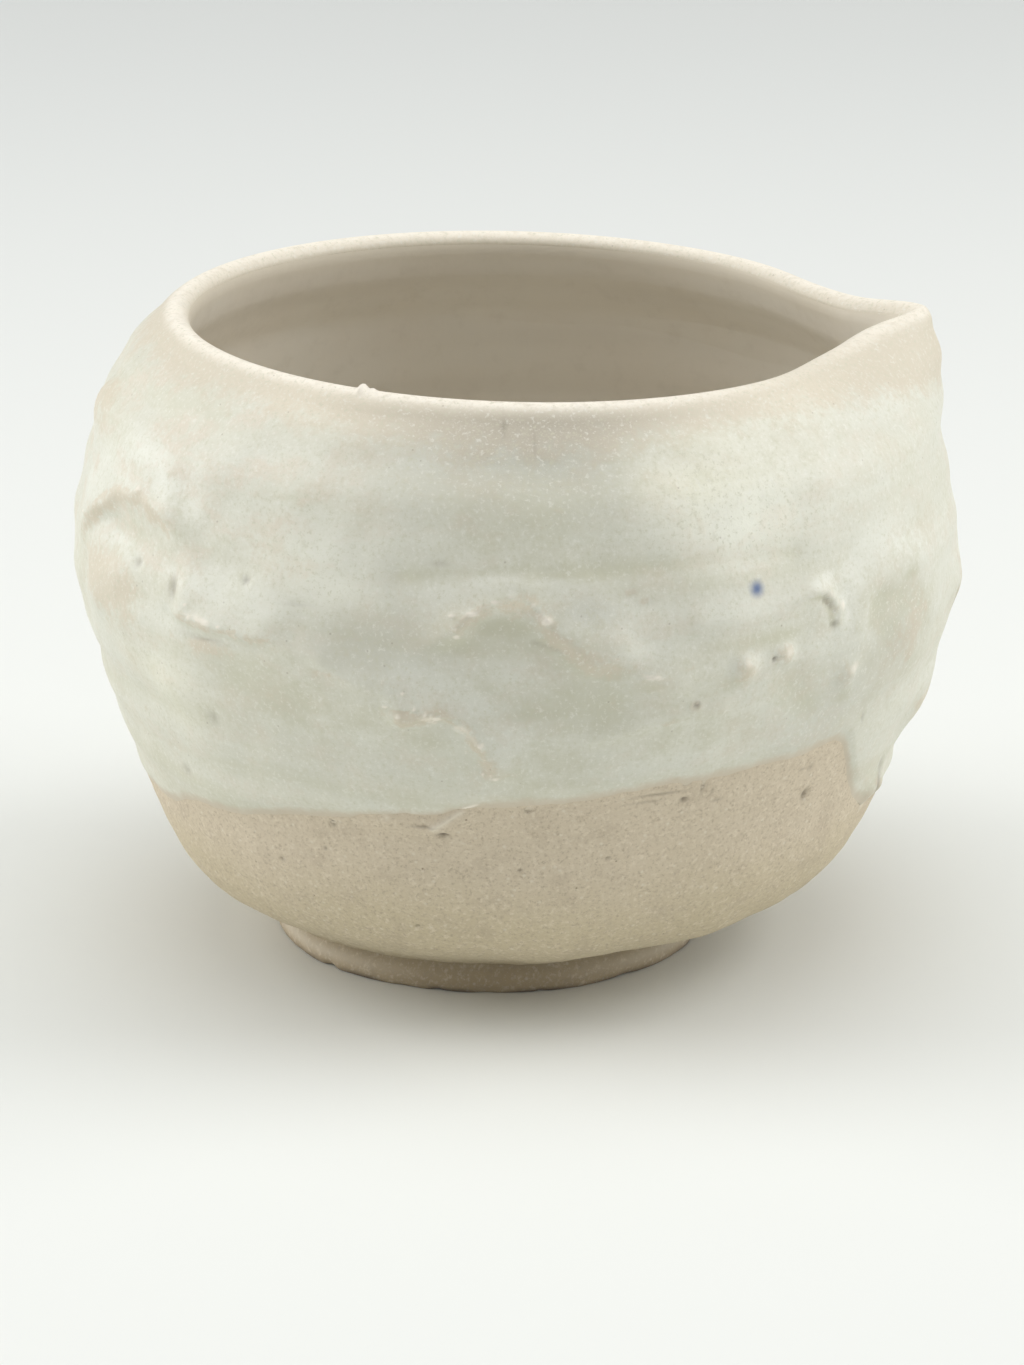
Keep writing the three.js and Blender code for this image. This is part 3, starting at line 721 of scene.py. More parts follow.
    def add_patch(self, degrees, height, half_width, half_height, amount):
        """A place where the glaze is paler, or thinner and greener, than round about; broad ones paint
        light and shade the same way.
        """
        patch = abs(amount) * self.soft(degrees, height, half_width, half_height)
        if amount > 0:
            self.pale = np.maximum(self.pale, patch)
            self.pool = self.pool * (1 - patch)
        else:
            self.pool = np.maximum(self.pool, patch)
            self.pale = self.pale * (1 - GREEN_OVER_PALE * patch)

    def add_painted_light(self, degrees, height, half_width, half_height, amount):
        """A broad patch of painted light (amount above 0) or painted shade (below 0)."""
        self.tone = self.tone + amount * self.soft(degrees, height, half_width, half_height)

    def add_mark(self, degrees, height, half_width, half_height, depth, stain):
        """A pit or a scar."""
        pit = self.soft(degrees, height, half_width, half_height)
        self.rise = self.rise - depth * MM * pit
        self.stain = np.maximum(self.stain, stain * pit**PIT_EDGE)

    def drawn_line(self, path, half, end, wander):
        """1 along a thin path, fading beside it and over a share of its way at each end."""
        far, _, share = self.beside(path)
        ends = smooth_step(share / end) * smooth_step((1 - share) / end)
        return bell(far + wander * self.drift, half * MM) * ends

    def add_cream(self, path, half, amount):
        """A thin broken line of bare clay on a crest."""
        broken = np.clip(0.85 + 0.3 * self.lumps, 0.5, 1.0)
        line = self.drawn_line(path, half, end=0.3, wander=0.5) * broken
        self.rise = self.rise + CREAM_RISE * line
        self.crumb = np.maximum(self.crumb, amount * line)

    def add_shadow_and_crack_line(self, path, half, depth, stain):
        """A dark line: a painted shadow under an edge, or a crack that has taken dirt."""
        line = self.drawn_line(path, half, end=0.25, wander=0.3)
        self.rise = self.rise - depth * MM * line
        self.stain = np.maximum(self.stain, stain * line)

    def add_crumb(self, degrees, height, half_width, half_height, rise, bare=1.0):
        """A crumb of clay that breaks through the glaze."""
        bump = self.soft(degrees, height, half_width, half_height)
        self.rise = self.rise + rise * MM * bump
        self.crumb = np.maximum(self.crumb, bare * bump)

    def add_crumbs(self, path, count, seed):
        """Crumbs of clay along the crest of a coil."""
        random = np.random.default_rng(seed)
        line = smooth_path(path, 20)
        for _ in range(count):
            degrees, height = line[int(random.uniform(*CRUMB_STRETCH) * (len(line) - 1))]
            degrees += random.normal(0, CRUMB_SPREAD) / CRUMB_DEGREE
            height += random.normal(0, CRUMB_SPREAD)
            wide = random.uniform(*CRUMB_WIDE)
            tall = random.uniform(*CRUMB_TALL)
            rise = random.uniform(*CRUMB_RISE)
            self.add_crumb(degrees, height, wide, tall, rise, random.uniform(*CRUMB_BARE))

    def add_smudge(self, degrees, height, half_width, half_height, amount):
        """A place where the glaze is thin and the clay shows warm through it."""
        self.crest = np.maximum(self.crest, amount * self.soft(degrees, height, half_width, half_height))

    def add_coat(self):
        """Everything that shows in the dipped coat."""
        self.lay(self.add_ridge, COILS.values())
        self.lay(self.add_pad, PADS.values())
        self.lay(self.add_pellet, PELLETS.values())
        self.lay(self.add_swell, SWELLS)
        for seed, (path, _, _, _, warm) in enumerate(COILS.values()):
            self.add_crumbs(path, int(CRUMBS_PER_COIL * warm) - CRUMBS_SPARED, seed)
        self.lay(self.add_crumb, CRUMBS)
        self.lay(self.add_cream, CREAM_LINES)
        # Painted shadows under edges, and a hair line.
        self.lay(self.add_shadow_and_crack_line, SHADOW_AND_CRACK_LINES)
        self.lay(self.add_smudge, SMUDGES)
        self.lay(self.add_patch, PATCHES)
        # Broad patches of painted light and shade.
        self.lay(self.add_painted_light, PAINTED_LIGHT_PATCHES)
        self.lay(self.add_mark, GLAZE_MARKS)

    @staticmethod
    def lay(add, table):
        """Adds each row of a table."""
        for row in table:
            add(*row)


# The makers of the meshes.


def deselect_all():
    if bpy.context.object and bpy.context.object.mode != "OBJECT":
        bpy.ops.object.mode_set(mode="OBJECT")
    bpy.ops.object.select_all(action="DESELECT")


def select_only(piece):
    deselect_all()
    piece.select_set(True)
    bpy.context.view_layer.objects.active = piece


def spin_profile(name, profile, columns):
    """Draws a section point by point, turns it round the axis and closes its seam.
    Returns the object, the row of each of its points in the profile and each point's angle."""
    deselect_all()
    x, z = profile[0]
    bpy.ops.mesh.primitive_circle_add(vertices=3, radius=MM, location=(x, 0, z))
    piece = bpy.context.object
    piece.name = name
    bpy.ops.object.transform_apply(location=True, rotation=True, scale=True)
    bpy.ops.object.mode_set(mode="EDIT")
    bpy.ops.mesh.select_all(action="SELECT")
    bpy.ops.mesh.merge(type="CENTER")
    for before, after in zip(profile, profile[1:]):
        step = (after[0] - before[0], 0, after[1] - before[1])
        bpy.ops.mesh.extrude_region_move(TRANSFORM_OT_translate={"value": step})
    bpy.ops.object.mode_set(mode="OBJECT")
    row = piece.data.attributes.new("row", "FLOAT", "POINT")
    row.data.foreach_set("value", np.arange(len(profile), dtype=np.float32))
    bpy.ops.object.modifier_add(type="SCREW")
    wheel = piece.modifiers[-1]
    wheel.axis = "Z"
    wheel.angle = TURN
    wheel.steps = columns
    wheel.render_steps = columns
    wheel.use_merge_vertices = True
    wheel.merge_threshold = WELD
    bpy.ops.object.modifier_apply(modifier=wheel.name)
    bpy.ops.object.mode_set(mode="EDIT")
    bpy.ops.mesh.select_all(action="SELECT")
    bpy.ops.mesh.remove_doubles(threshold=WELD)
    bpy.ops.mesh.normals_make_consistent(inside=False)
    bpy.ops.object.mode_set(mode="OBJECT")
    count = len(piece.data.vertices)
    rows = np.zeros(count, np.float32)
    piece.data.attributes["row"].data.foreach_get("value", rows)
    places = points_of(piece)
    angles = np.arctan2(places[:, 1], places[:, 0])
    piece.data.attributes.remove(piece.data.attributes["row"])
    return piece, np.rint(rows).astype(int), angles


def points_of(piece):
    places = np.zeros(len(piece.data.vertices) * 3)
    piece.data.vertices.foreach_get("co", places)
    return places.reshape(-1, 3)


def move_points(piece, places):
    piece.data.vertices.foreach_set("co", np.ascontiguousarray(places, dtype=np.float32).ravel())
    piece.data.update()


def mark_points(piece, name, values):
    """Stores a value at each point of a mesh for its material to read."""
    mark = piece.data.attributes.new(name, "FLOAT", "POINT")
    mark.data.foreach_set("value", np.clip(values, 0.0, 1.0).astype(np.float32))


def finish_piece(piece, material, slot, *nodes):
    """Smooths a piece, gives it its finish and sets it in the frame."""
    select_only(piece)
    bpy.ops.object.shade_smooth()
    piece.data.materials.clear()
    piece.data.materials.append(material)
    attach(piece, BODY)
    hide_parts(*nodes)


def outward_faces(piece):
    """Turns a closed mesh the right way out after its points have moved."""
    select_only(piece)
    bpy.ops.object.mode_set(mode="EDIT")
    bpy.ops.mesh.select_all(action="SELECT")
    bpy.ops.mesh.normals_make_consistent(inside=False)
    bpy.ops.object.mode_set(mode="OBJECT")


# The finishes.


class Finish:
    """A material whose nodes are laid one after another."""

    def __init__(self, name, roughness, base):
        self.base = base
        self.material = bpy.data.materials.new(name)
        self.material.use_nodes = True
        self.tree = self.material.node_tree
        self.shader = self.tree.nodes["Principled BSDF"]
        self.shader.inputs["Roughness"].default_value = roughness
        self.places = self.tree.nodes.new("ShaderNodeTexCoord").outputs["Object"]

    def link(self, out, socket):
        self.tree.links.new(out, socket)

    def noise(self, scale, detail=4.0, rough=0.55, stretch=None):
        node = self.tree.nodes.new("ShaderNodeTexNoise")
        node.inputs["Scale"].default_value = scale
        node.inputs["Detail"].default_value = detail
        node.inputs["Roughness"].default_value = rough
        source = self.places
        if stretch is not None:
            mapping = self.tree.nodes.new("ShaderNodeMapping")
            mapping.inputs["Scale"].default_value = stretch
            self.link(self.places, mapping.inputs["Vector"])
            source = mapping.outputs["Vector"]
        self.link(source, node.inputs["Vector"])
        return node.outputs["Fac"]

    def cells(self, scale):
        node = self.tree.nodes.new("ShaderNodeTexVoronoi")
        node.inputs["Scale"].default_value = scale
        self.link(self.places, node.inputs["Vector"])
        return node.outputs["Distance"]

    def height(self):
        node = self.tree.nodes.new("ShaderNodeSeparateXYZ")
        self.link(self.places, node.inputs["Vector"])
        return node.outputs["Z"]

    def distance(self, point):
        node = self.tree.nodes.new("ShaderNodeVectorMath")
        node.operation = "DISTANCE"
        self.link(self.places, node.inputs[0])
        node.inputs[1].default_value = point
        return node.outputs["Value"]

    def mark(self, name):
        node = self.tree.nodes.new("ShaderNodeAttribute")
        node.attribute_name = name
        return node.outputs["Fac"]

    def span(self, value, low, high, out_low=0.0, out_high=1.0):
        node = self.tree.nodes.new("ShaderNodeMapRange")
        node.interpolation_type = "SMOOTHSTEP"
        self.link(value, node.inputs["Value"])
        node.inputs["From Min"].default_value = low
        node.inputs["From Max"].default_value = high
        node.inputs["To Min"].default_value = out_low
        node.inputs["To Max"].default_value = out_high
        return node.outputs["Result"]

    def math(self, operation, a, b):
        node = self.tree.nodes.new("ShaderNodeMath")
        node.operation = operation
        for value, socket in ((a, node.inputs[0]), (b, node.inputs[1])):
            if isinstance(value, (int, float)):
                socket.default_value = value
            else:
                self.link(value, socket)
        return node.outputs["Value"]

    def mix(self, share, a, b):
        node = self.tree.nodes.new("ShaderNodeMix")
        node.data_type = "RGBA"
        for value, socket in ((share, node.inputs[0]), (a, node.inputs[6]), (b, node.inputs[7])):
            if isinstance(value, (int, float)):
                socket.default_value = value
            elif hasattr(value, "is_output"):
                self.link(value, socket)
            else:
                socket.default_value = (*value, 1.0)
        return node.outputs[2]

    def times(self, a, b):
        return self.math("MULTIPLY", a, b)

    def plus(self, a, b):
        return self.math("ADD", a, b)

    def lay(self, share, colour):
        """Lays a share of a colour over those there already."""
        self.base = self.mix(share, self.base, colour)

    def tone(self, value):
        """Paints light or shade into the colour: makes it lighter or darker there."""
        node = self.tree.nodes.new("ShaderNodeHueSaturation")
        self.link(self.base, node.inputs["Color"])
        self.link(value, node.inputs["Value"])
        self.base = node.outputs["Color"]

    def bump(self, height, distance, strength=1.0, under=None):
        node = self.tree.nodes.new("ShaderNodeBump")
        node.inputs["Strength"].default_value = strength
        node.inputs["Distance"].default_value = distance
        self.link(height, node.inputs["Height"])
        if under is not None:
            self.link(under, node.inputs["Normal"])
        return node.outputs["Normal"]

    def set(self, socket, out):
        self.link(out, self.shader.inputs[socket])


def dipped_glaze_finish(colour, wall):
    """Satin white glaze: grey green where it pools, warm where it runs thin over crests and the rim, with
    painted light and shade in broad patches and a painted highlight on the rim's crest.
    """
    f = Finish("dipped_glaze", 0.5, colour.glaze)
    cloud = f.noise(70.0, 5.0, stretch=(1.0, 1.0, 1.8))
    drift = f.noise(150.0, 5.0, 0.6, stretch=(1.0, 1.0, 2.0))
    rings = f.noise(60.0, 4.0, 0.6, stretch=(0.35, 0.35, 4.0))
    mottle = f.noise(380.0, 5.0, 0.65)
    fine = f.noise(1100.0, 4.0, 0.65)
    grain = f.noise(2300.0, 3.0, 0.7)
    broken = f.plus(f.times(mottle, 0.6), f.times(fine, 0.4))
    ragged = f.math("SUBTRACT", broken, 0.5)
    f.lay(f.span(cloud, 0.36, 0.64), colour.glaze_cool)
    f.lay(f.span(rings, 0.5, 0.32, 0.0, 0.45), colour.glaze_pale)
    f.lay(f.times(f.mark("pale"), 0.85), colour.glaze_pale)
    f.lay(f.span(rings, 0.52, 0.7, 0.0, 0.5), colour.glaze_pool)
    green = f.times(f.span(cloud, 0.56, 0.36), f.span(broken, 0.42, 0.6))
    f.lay(f.times(green, 0.45), colour.glaze_pool)
    # Pooled glaze, and the painted shade of the broad greenish patches.
    pooled_and_shaded = f.plus(f.mark("pool"), f.times(ragged, 1.0))
    f.lay(f.span(pooled_and_shaded, 0.08, 0.95, 0.0, 0.9), colour.glaze_pool)
    warm = f.times(f.span(drift, 0.44, 0.62), f.span(broken, 0.36, 0.6))
    blush = f.math("MAXIMUM", f.mark("blush"), 0.4)
    f.lay(f.times(blush, warm), colour.glaze_blush)
    edge = f.plus(f.mark("band"), f.times(ragged, 2.6))
    f.lay(f.span(edge, 0.15, 0.95), colour.rim_band)
    wear_and_highlight = f.plus(f.mark("crest"), f.times(ragged, 2.8))
    f.lay(f.span(wear_and_highlight, 0.3, 0.95, 0.0, 0.9), colour.glaze_thin)
    # Painted light and shade: the colour made lighter or darker in broad patches.
    f.tone(f.plus(f.mark("tone"), 0.5))
    # Painted highlight along the rim's crest.
    painted_rim_highlight = f.times(f.mark("lip"), f.span(fine, 0.25, 0.6, 0.4, 1.0))
    f.lay(painted_rim_highlight, colour.rim_highlight)
    f.lay(f.span(fine, 0.54, 0.74, 0.0, 0.35), colour.glaze_pool)
    f.lay(f.span(grain, 0.53, 0.7, 0.0, 0.5), colour.glaze_fleck)
    f.lay(f.span(grain, 0.47, 0.3, 0.0, 0.6), colour.glaze_pool)
    f.lay(f.span(f.cells(420.0), 0.06, 0.025, 0.0, 0.3), colour.iron)
    # Stains in pits and cracks, and painted shadows under edges.
    f.lay(f.times(f.mark("stain"), 0.8), colour.stain)
    last = f.plus(f.mark("hem"), f.times(ragged, 0.9))
    f.lay(f.span(last, 0.2, 0.95, 0.0, 0.97), colour.glaze_hem)
    bared = f.plus(f.mark("crumb"), f.times(ragged, 1.2))
    f.lay(f.span(bared, 0.15, 0.8, 0.0, 0.95), colour.crumb)
    degrees, height, half = BLUE_SPECK
    run = np.array([wall.run_at(height * MM)])
    speck = wall.place(run, np.radians([degrees]), wall.size.coat_gap + wall.size.glaze)[0]
    blurred = f.times(f.math("SUBTRACT", mottle, 0.5), 0.8 * MM)
    far = f.plus(f.distance(speck), blurred)
    f.lay(f.span(far, half * MM, 0.1 * MM, 0.0, 0.92), colour.blue_speck)
    f.set("Base Color", f.base)
    f.set("Roughness", f.span(mottle, 0.3, 0.7, 0.42, 0.56))
    soft = f.bump(mottle, 0.16 * MM, 0.5)
    f.set("Normal", f.bump(fine, 0.06 * MM, 0.5, soft))
    return f.material


def liner_finish(colour):
    """Thin liner glaze over the grey clay: warm grey, faintly mottled and ringed."""
    f = Finish("liner_glaze", 0.55, colour.liner)
    cloud = f.noise(70.0, 5.0)
    mottle = f.noise(420.0, 5.0, 0.6)
    rings = f.noise(60.0, 3.0, 0.5, stretch=(0.15, 0.15, 3.0))
    f.lay(f.span(cloud, 0.35, 0.65), colour.liner_warm)
    f.lay(f.span(rings, 0.45, 0.7, 0.0, 0.3), colour.liner_dark)
    f.lay(f.span(mottle, 0.5, 0.75, 0.0, 0.35), colour.liner_dark)
    f.lay(f.mark("band"), colour.rim_band)
    f.set("Base Color", f.base)
    f.set("Roughness", f.span(mottle, 0.3, 0.7, 0.5, 0.65))
    f.set("Normal", f.bump(mottle, 0.08 * MM, 0.5))
    return f.material


def clay_finish(name, colour, dark_low):
    """Unglazed sandy stoneware: pinkish under the glaze, yellower below, browner at the foot; its stain
    mark also carries painted shade, and on the foot ring its pale mark a painted highlight.
    """
    f = Finish(name, 0.9, colour.clay_low)
    cloud = f.noise(60.0, 5.0)
    sand = f.noise(2600.0, 4.0, 0.75)
    grit = f.noise(1500.0, 4.0, 0.7)
    patch = f.noise(240.0, 4.0, 0.6)
    rise = f.plus(f.height(), f.times(f.math("SUBTRACT", cloud, 0.5), 12 * MM))
    low = f.plus(f.height(), f.times(f.math("SUBTRACT", patch, 0.5), 2 * MM))
    f.lay(f.span(rise, 10 * MM, 22 * MM), colour.clay)
    f.lay(f.span(low, 6.2 * MM, 1.2 * MM, 0.0, dark_low), colour.foot)
    f.lay(f.span(patch, 0.5, 0.72, 0.0, 0.35), colour.clay_shade)
    f.lay(f.span(grit, 0.5, 0.68, 0.0, 0.75), colour.clay_sand)
    f.lay(f.span(sand, 0.5, 0.3, 0.0, 0.9), colour.clay_shade)
    f.lay(f.span(sand, 0.55, 0.72, 0.0, 0.6), colour.clay_fleck)
    f.lay(f.span(f.cells(700.0), 0.18, 0.06, 0.0, 0.6), colour.clay_fleck)
    f.lay(f.span(f.cells(330.0), 0.05, 0.02, 0.0, 0.7), colour.iron)
    # On the foot ring the pale mark is a painted highlight.
    f.lay(f.mark("pale"), colour.clay_pale)
    # Stains in pits, and painted shade in creases, at the seam and on the foot ring.
    f.lay(f.mark("stain"), colour.stain)
    f.set("Base Color", f.base)
    f.set("Roughness", f.span(grit, 0.3, 0.7, 0.82, 0.96))
    coarse = f.bump(grit, 0.12 * MM, 0.6)
    f.set("Normal", f.bump(sand, 0.07 * MM, 0.8, coarse))
    return f.material


# Settings that a user would change.


def length(label, words, value, low=0.0):
    return FloatProperty(
        name=label, description=words, default=value, min=low, unit="LENGTH", precision=4
    )


def ratio(label, words, value):
    return FloatProperty(name=label, description=words, default=value, min=0.0, max=10.0)


def power(label, words, value):
    return FloatProperty(name=label, description=words, default=value, min=0.0, unit="POWER")


def number(label, words, value):
    return IntProperty(name=label, description=words, default=value, min=1)


def tint(label, words, value):
    return FloatVectorProperty(
        name=label, description=words, default=value, subtype="COLOR", size=3, min=0.0, max=1.0
    )


class CupSizes(bpy.types.PropertyGroup):
    """Sizes of the cup."""

    height: length("Height", "Table to the mean crest of the glazed rim", 0.066)
    belly_radius: length("Belly radius", "Clay wall at its widest, outside", 0.0448)
    mouth_radius: length("Mouth radius", "Clay rim, inside", 0.0342)
    rim_wall: length("Rim wall", "Thickness of the clay at the rim", 0.0026)
    base_wall: length("Base wall", "Thickness of the clay at the foot of the wall", 0.0034)
    floor: length("Floor", "Thickness of the clay floor", 0.0036)
    wall_taper: ratio("Wall taper", "How late on the way up the wall thins", 1.5)
    rim_fall: ratio("Rim fall", "Fall of the mouth towards the lip, per metre", 0.027)
    rim_zone: length("Rim zone", "Height of wall that follows the falling mouth", 0.014)
    lip_reach: length("Lip reach", "How far the lip stands out", 0.0068)
    lip_half_width: length("Lip half width", "Inside, halfway along the lip", 0.0039)
    lip_depth: length("Lip depth", "Height of wall drawn out with the lip", 0.0105)
    lip_rise: length("Lip rise", "Lift of the lip's tip", 0.0015)
    lip_pinch: length("Lip pinch", "Depth of the finger marks beside the lip", 0.0008)
    seat_radius: length("Seat radius", "Clay body where it meets the foot ring", 0.0222)
    foot_radius: length("Foot radius", "Foot ring, outside at the table", 0.0229)
    foot_width: length("Foot width", "Breadth of the foot ring", 0.005)
    foot_height: length("Foot height", "Height of the foot ring", 0.0034)
    foot_shift: length("Foot shift", "The ring sits off centre, away from the lip", -0.0026, -0.01)
    foot_lean: length("Foot lean", "Height of wall above the ring that leans over to it", 0.0045)
    glaze: length("Glaze", "Thickness of the dipped coat", 0.0006)
    liner: length("Liner", "Thickness of the liner coat", 0.0005)
    coat_gap: length("Coat gap", "Clearance of the coats from the clay in the solids", 0.0003)
    hem_ramp: length("Hem ramp", "Height in which the dipped coat thins out above its edge", 0.0036)
    tuck: length("Tuck", "How far the dipped coat goes past the crest of the rim", 0.0013)
    clay_proud: length("Clay proud", "How far the clay's skin stands over its solid", 0.00048)


class CupColours(bpy.types.PropertyGroup):
    """Colours of the finishes."""

    glaze: tint("Glaze", "Dipped glaze at its usual depth", (0.72, 0.707, 0.592))
    glaze_cool: tint("Cool glaze", "Dipped glaze, bluer patches", (0.716, 0.712, 0.61))
    # Also paints the shade on the front and along the throwing groove.
    glaze_pool: tint("Pooled glaze", "Where the glaze is thin and greenish", (0.622, 0.612, 0.472))
    # Also paints the light on the side flanks.
    glaze_pale: tint("Pale glaze", "Where the glaze lies deep on the outer flanks", (0.8, 0.802, 0.706))
    crumb: tint("Crumb", "Crumbs of white clay on the crests", (0.9, 0.845, 0.735))
    glaze_blush: tint("Blushed glaze", "Warm patches on the shoulder", (0.73, 0.668, 0.552))
    glaze_thin: tint("Thin glaze", "Over the crests of the relief", (0.69, 0.622, 0.492))
    glaze_fleck: tint("Glaze fleck", "Bright flecks in the glaze", (0.84, 0.83, 0.745))
    glaze_hem: tint("Glaze hem", "Last trace of glaze at the dip line", (0.635, 0.56, 0.435))
    rim_band: tint("Rim band", "Thin glaze round the rim", (0.69, 0.627, 0.5))
    # Painted highlight along the rim's crest.
    rim_highlight: tint("Rim crest", "Worn crest of the rim", (0.95, 0.89, 0.77))
    liner: tint("Liner", "Liner glaze", (0.73, 0.69, 0.6))
    liner_warm: tint("Warm liner", "Liner glaze, warmer patches", (0.725, 0.675, 0.58))
    liner_dark: tint("Dark liner", "Liner glaze, darker flecks", (0.62, 0.575, 0.485))
    clay: tint("Clay", "Bare clay below the glaze", (0.66, 0.57, 0.432))
    clay_low: tint("Low clay", "Bare clay near the foot", (0.62, 0.535, 0.37))
    clay_sand: tint("Clay sand", "Pale sand in the clay", (0.755, 0.667, 0.522))
    clay_shade: tint("Clay shade", "Dark grain in the clay", (0.47, 0.39, 0.285))
    clay_fleck: tint("Clay fleck", "Feldspar flecks in the clay", (0.76, 0.70, 0.58))
    # On the foot ring this colour is a painted highlight.
    clay_pale: tint("Pale clay", "Raised creases of the clay", (0.8, 0.735, 0.61))
    foot: tint("Foot", "Clay of the foot at the table", (0.475, 0.37, 0.228))
    iron: tint("Iron", "Iron specks", (0.22, 0.16, 0.10))
    # Also used for painted shade in creases, under edges and on the foot ring.
    stain: tint("Stain", "Bottom of pits", (0.16, 0.13, 0.10))
    blue_speck: tint("Blue speck", "Speck of cobalt in the glaze", (0.10, 0.16, 0.33))


class CupStage(bpy.types.PropertyGroup):
    """Camera and light."""

    target: FloatVectorProperty(
        name="Target",
        description="Point that the camera looks at",
        default=(-0.0004, 0.0, 0.02588),
        subtype="TRANSLATION",
        unit="LENGTH",
    )
    distance: length("Distance", "Camera to its target", 0.5248)
    elevation: FloatProperty(
        name="Elevation",
        description="Camera above the horizon",
        default=math.radians(18.72),
        subtype="ANGLE",
    )
    lens: FloatProperty(name="Lens", description="Focal length", default=131.87, unit="CAMERA")
    sky: ratio("Sky", "Strength of the even light", 0.407)
    overhead: power("Overhead", "Power of the top light", 3.35)
    left: power("Left", "Power of the left light", 3.15)
    right: power("Right", "Power of the right light", 4.05)
    front: power("Front", "Power of the light behind the camera", 0.4)
    low_left: power("Low left", "Power of the low left light", 3.6)
    low_right: power("Low right", "Power of the low right light", 1.8)
    floor: tint("Floor", "Colour of the floor", (0.805, 0.82, 0.79))
    backdrop: tint("Backdrop", "Colour behind the floor", (0.72, 0.74, 0.72))


class CupCounts(bpy.types.PropertyGroup):
    """Fineness of the meshes."""

    columns: number("Columns", "Columns of the wall and its coat", 560)
    relief_rows: number("Relief rows", "Rows of the coat over the relief", 118)
    neck_rows: number("Neck rows", "Rows of the coat up to the rim", 18)
    rim_rows: number("Rim rows", "Rows of the coat up to the rim's crest", 16)
    tuck_rows: number("Tuck rows", "Rows of the coat past the rim's crest", 9)
    back_rows: number("Back rows", "Rows of the coat's hidden side", 10)
    clay_rows: number("Clay rows", "Rows of the bare clay", 146)
    hidden_rows: number("Hidden rows", "Rows of the clay under its coats", 22)
    liner_columns: number("Liner columns", "Columns of the liner", 320)
    liner_rows: number("Liner rows", "Rows of the liner", 100)
    foot_columns: number("Foot columns", "Columns of the foot ring", 480)


# Operators, one for each piece or group of like pieces.


def crowd_to_front(angle):
    """Columns crowd towards the front, where the relief is finest."""
    off = angle + math.pi / 2
    return angle - FRONT_CROWD * np.sin(off)


def clay_skin(size, angle, run):
    """How far the bare clay's uneven skin stands over its solid."""
    rings = wheel_rings(angle, run, 3.6 * MM, 0.03 * MM)
    return size.clay_proud + unevenness(angle, run, CLAY_WAVES) + rings


def throwing_marks(angle, run):
    """Rings that the fingers left in the wall."""
    pitch = 5.6 * MM
    height = 0.1 * MM
    rings = np.sin(TURN * run / pitch + 0.5 * np.sin(angle + 0.6))
    return height * rings * (0.6 + 0.4 * np.sin(2 * angle + 1.0))


COAT_FROM = 20 * MM  # lowest row of the coat before it is laid on the wall
HEM_BELOW = 0.3  # share of the hem's ramp that lies below the dip line
HEM_SUNK = 0.12 * MM  # how far the coat's edge starts under the clay's skin
HEM_BARE = 0.22  # share of the ramp that shows the colour of the hem
HEM_FADE = 0.68  # share of the ramp over which that colour fades
QUIET_RIM = 4 * MM  # height below the rim in which the unevenness dies out
TUCK_LEVEL = 0.46  # share of the tuck before the coat sinks into the mouth
TUCK_SUNK = 0.55 * MM  # how far it sinks there
BACK_SUNK = 0.2 * MM  # depth of the coat's hidden side at the hem
BACK_DEEP = 0.6 * MM  # how much deeper it lies higher up
COAT_LEAST = 0.08 * MM  # least thickness of the coat
BAND_BELOW = 2.2 * MM  # how far under its line the rim's band starts
BAND_FADE = 4.6 * MM  # height in which it comes to the full
BLUSH_AT = (-150, 50)  # degrees and spread of the warm shoulder
BLUSH_FROM = 34 * MM  # height where it starts
BLUSH_FADE = 18 * MM  # height in which it comes to the full
LIP_SIDE = (-35, 22)  # degrees and spread of the rim beside the lip
LIP_SIDE_DIM = 0.7  # how much dimmer the painted highlight on the crest is there
HIGHLIGHT_OUTSIDE = 0.1 * MM  # how far outside the crest the painted highlight is brightest
HIGHLIGHT_HALF = 0.65 * MM  # half width of the painted highlight
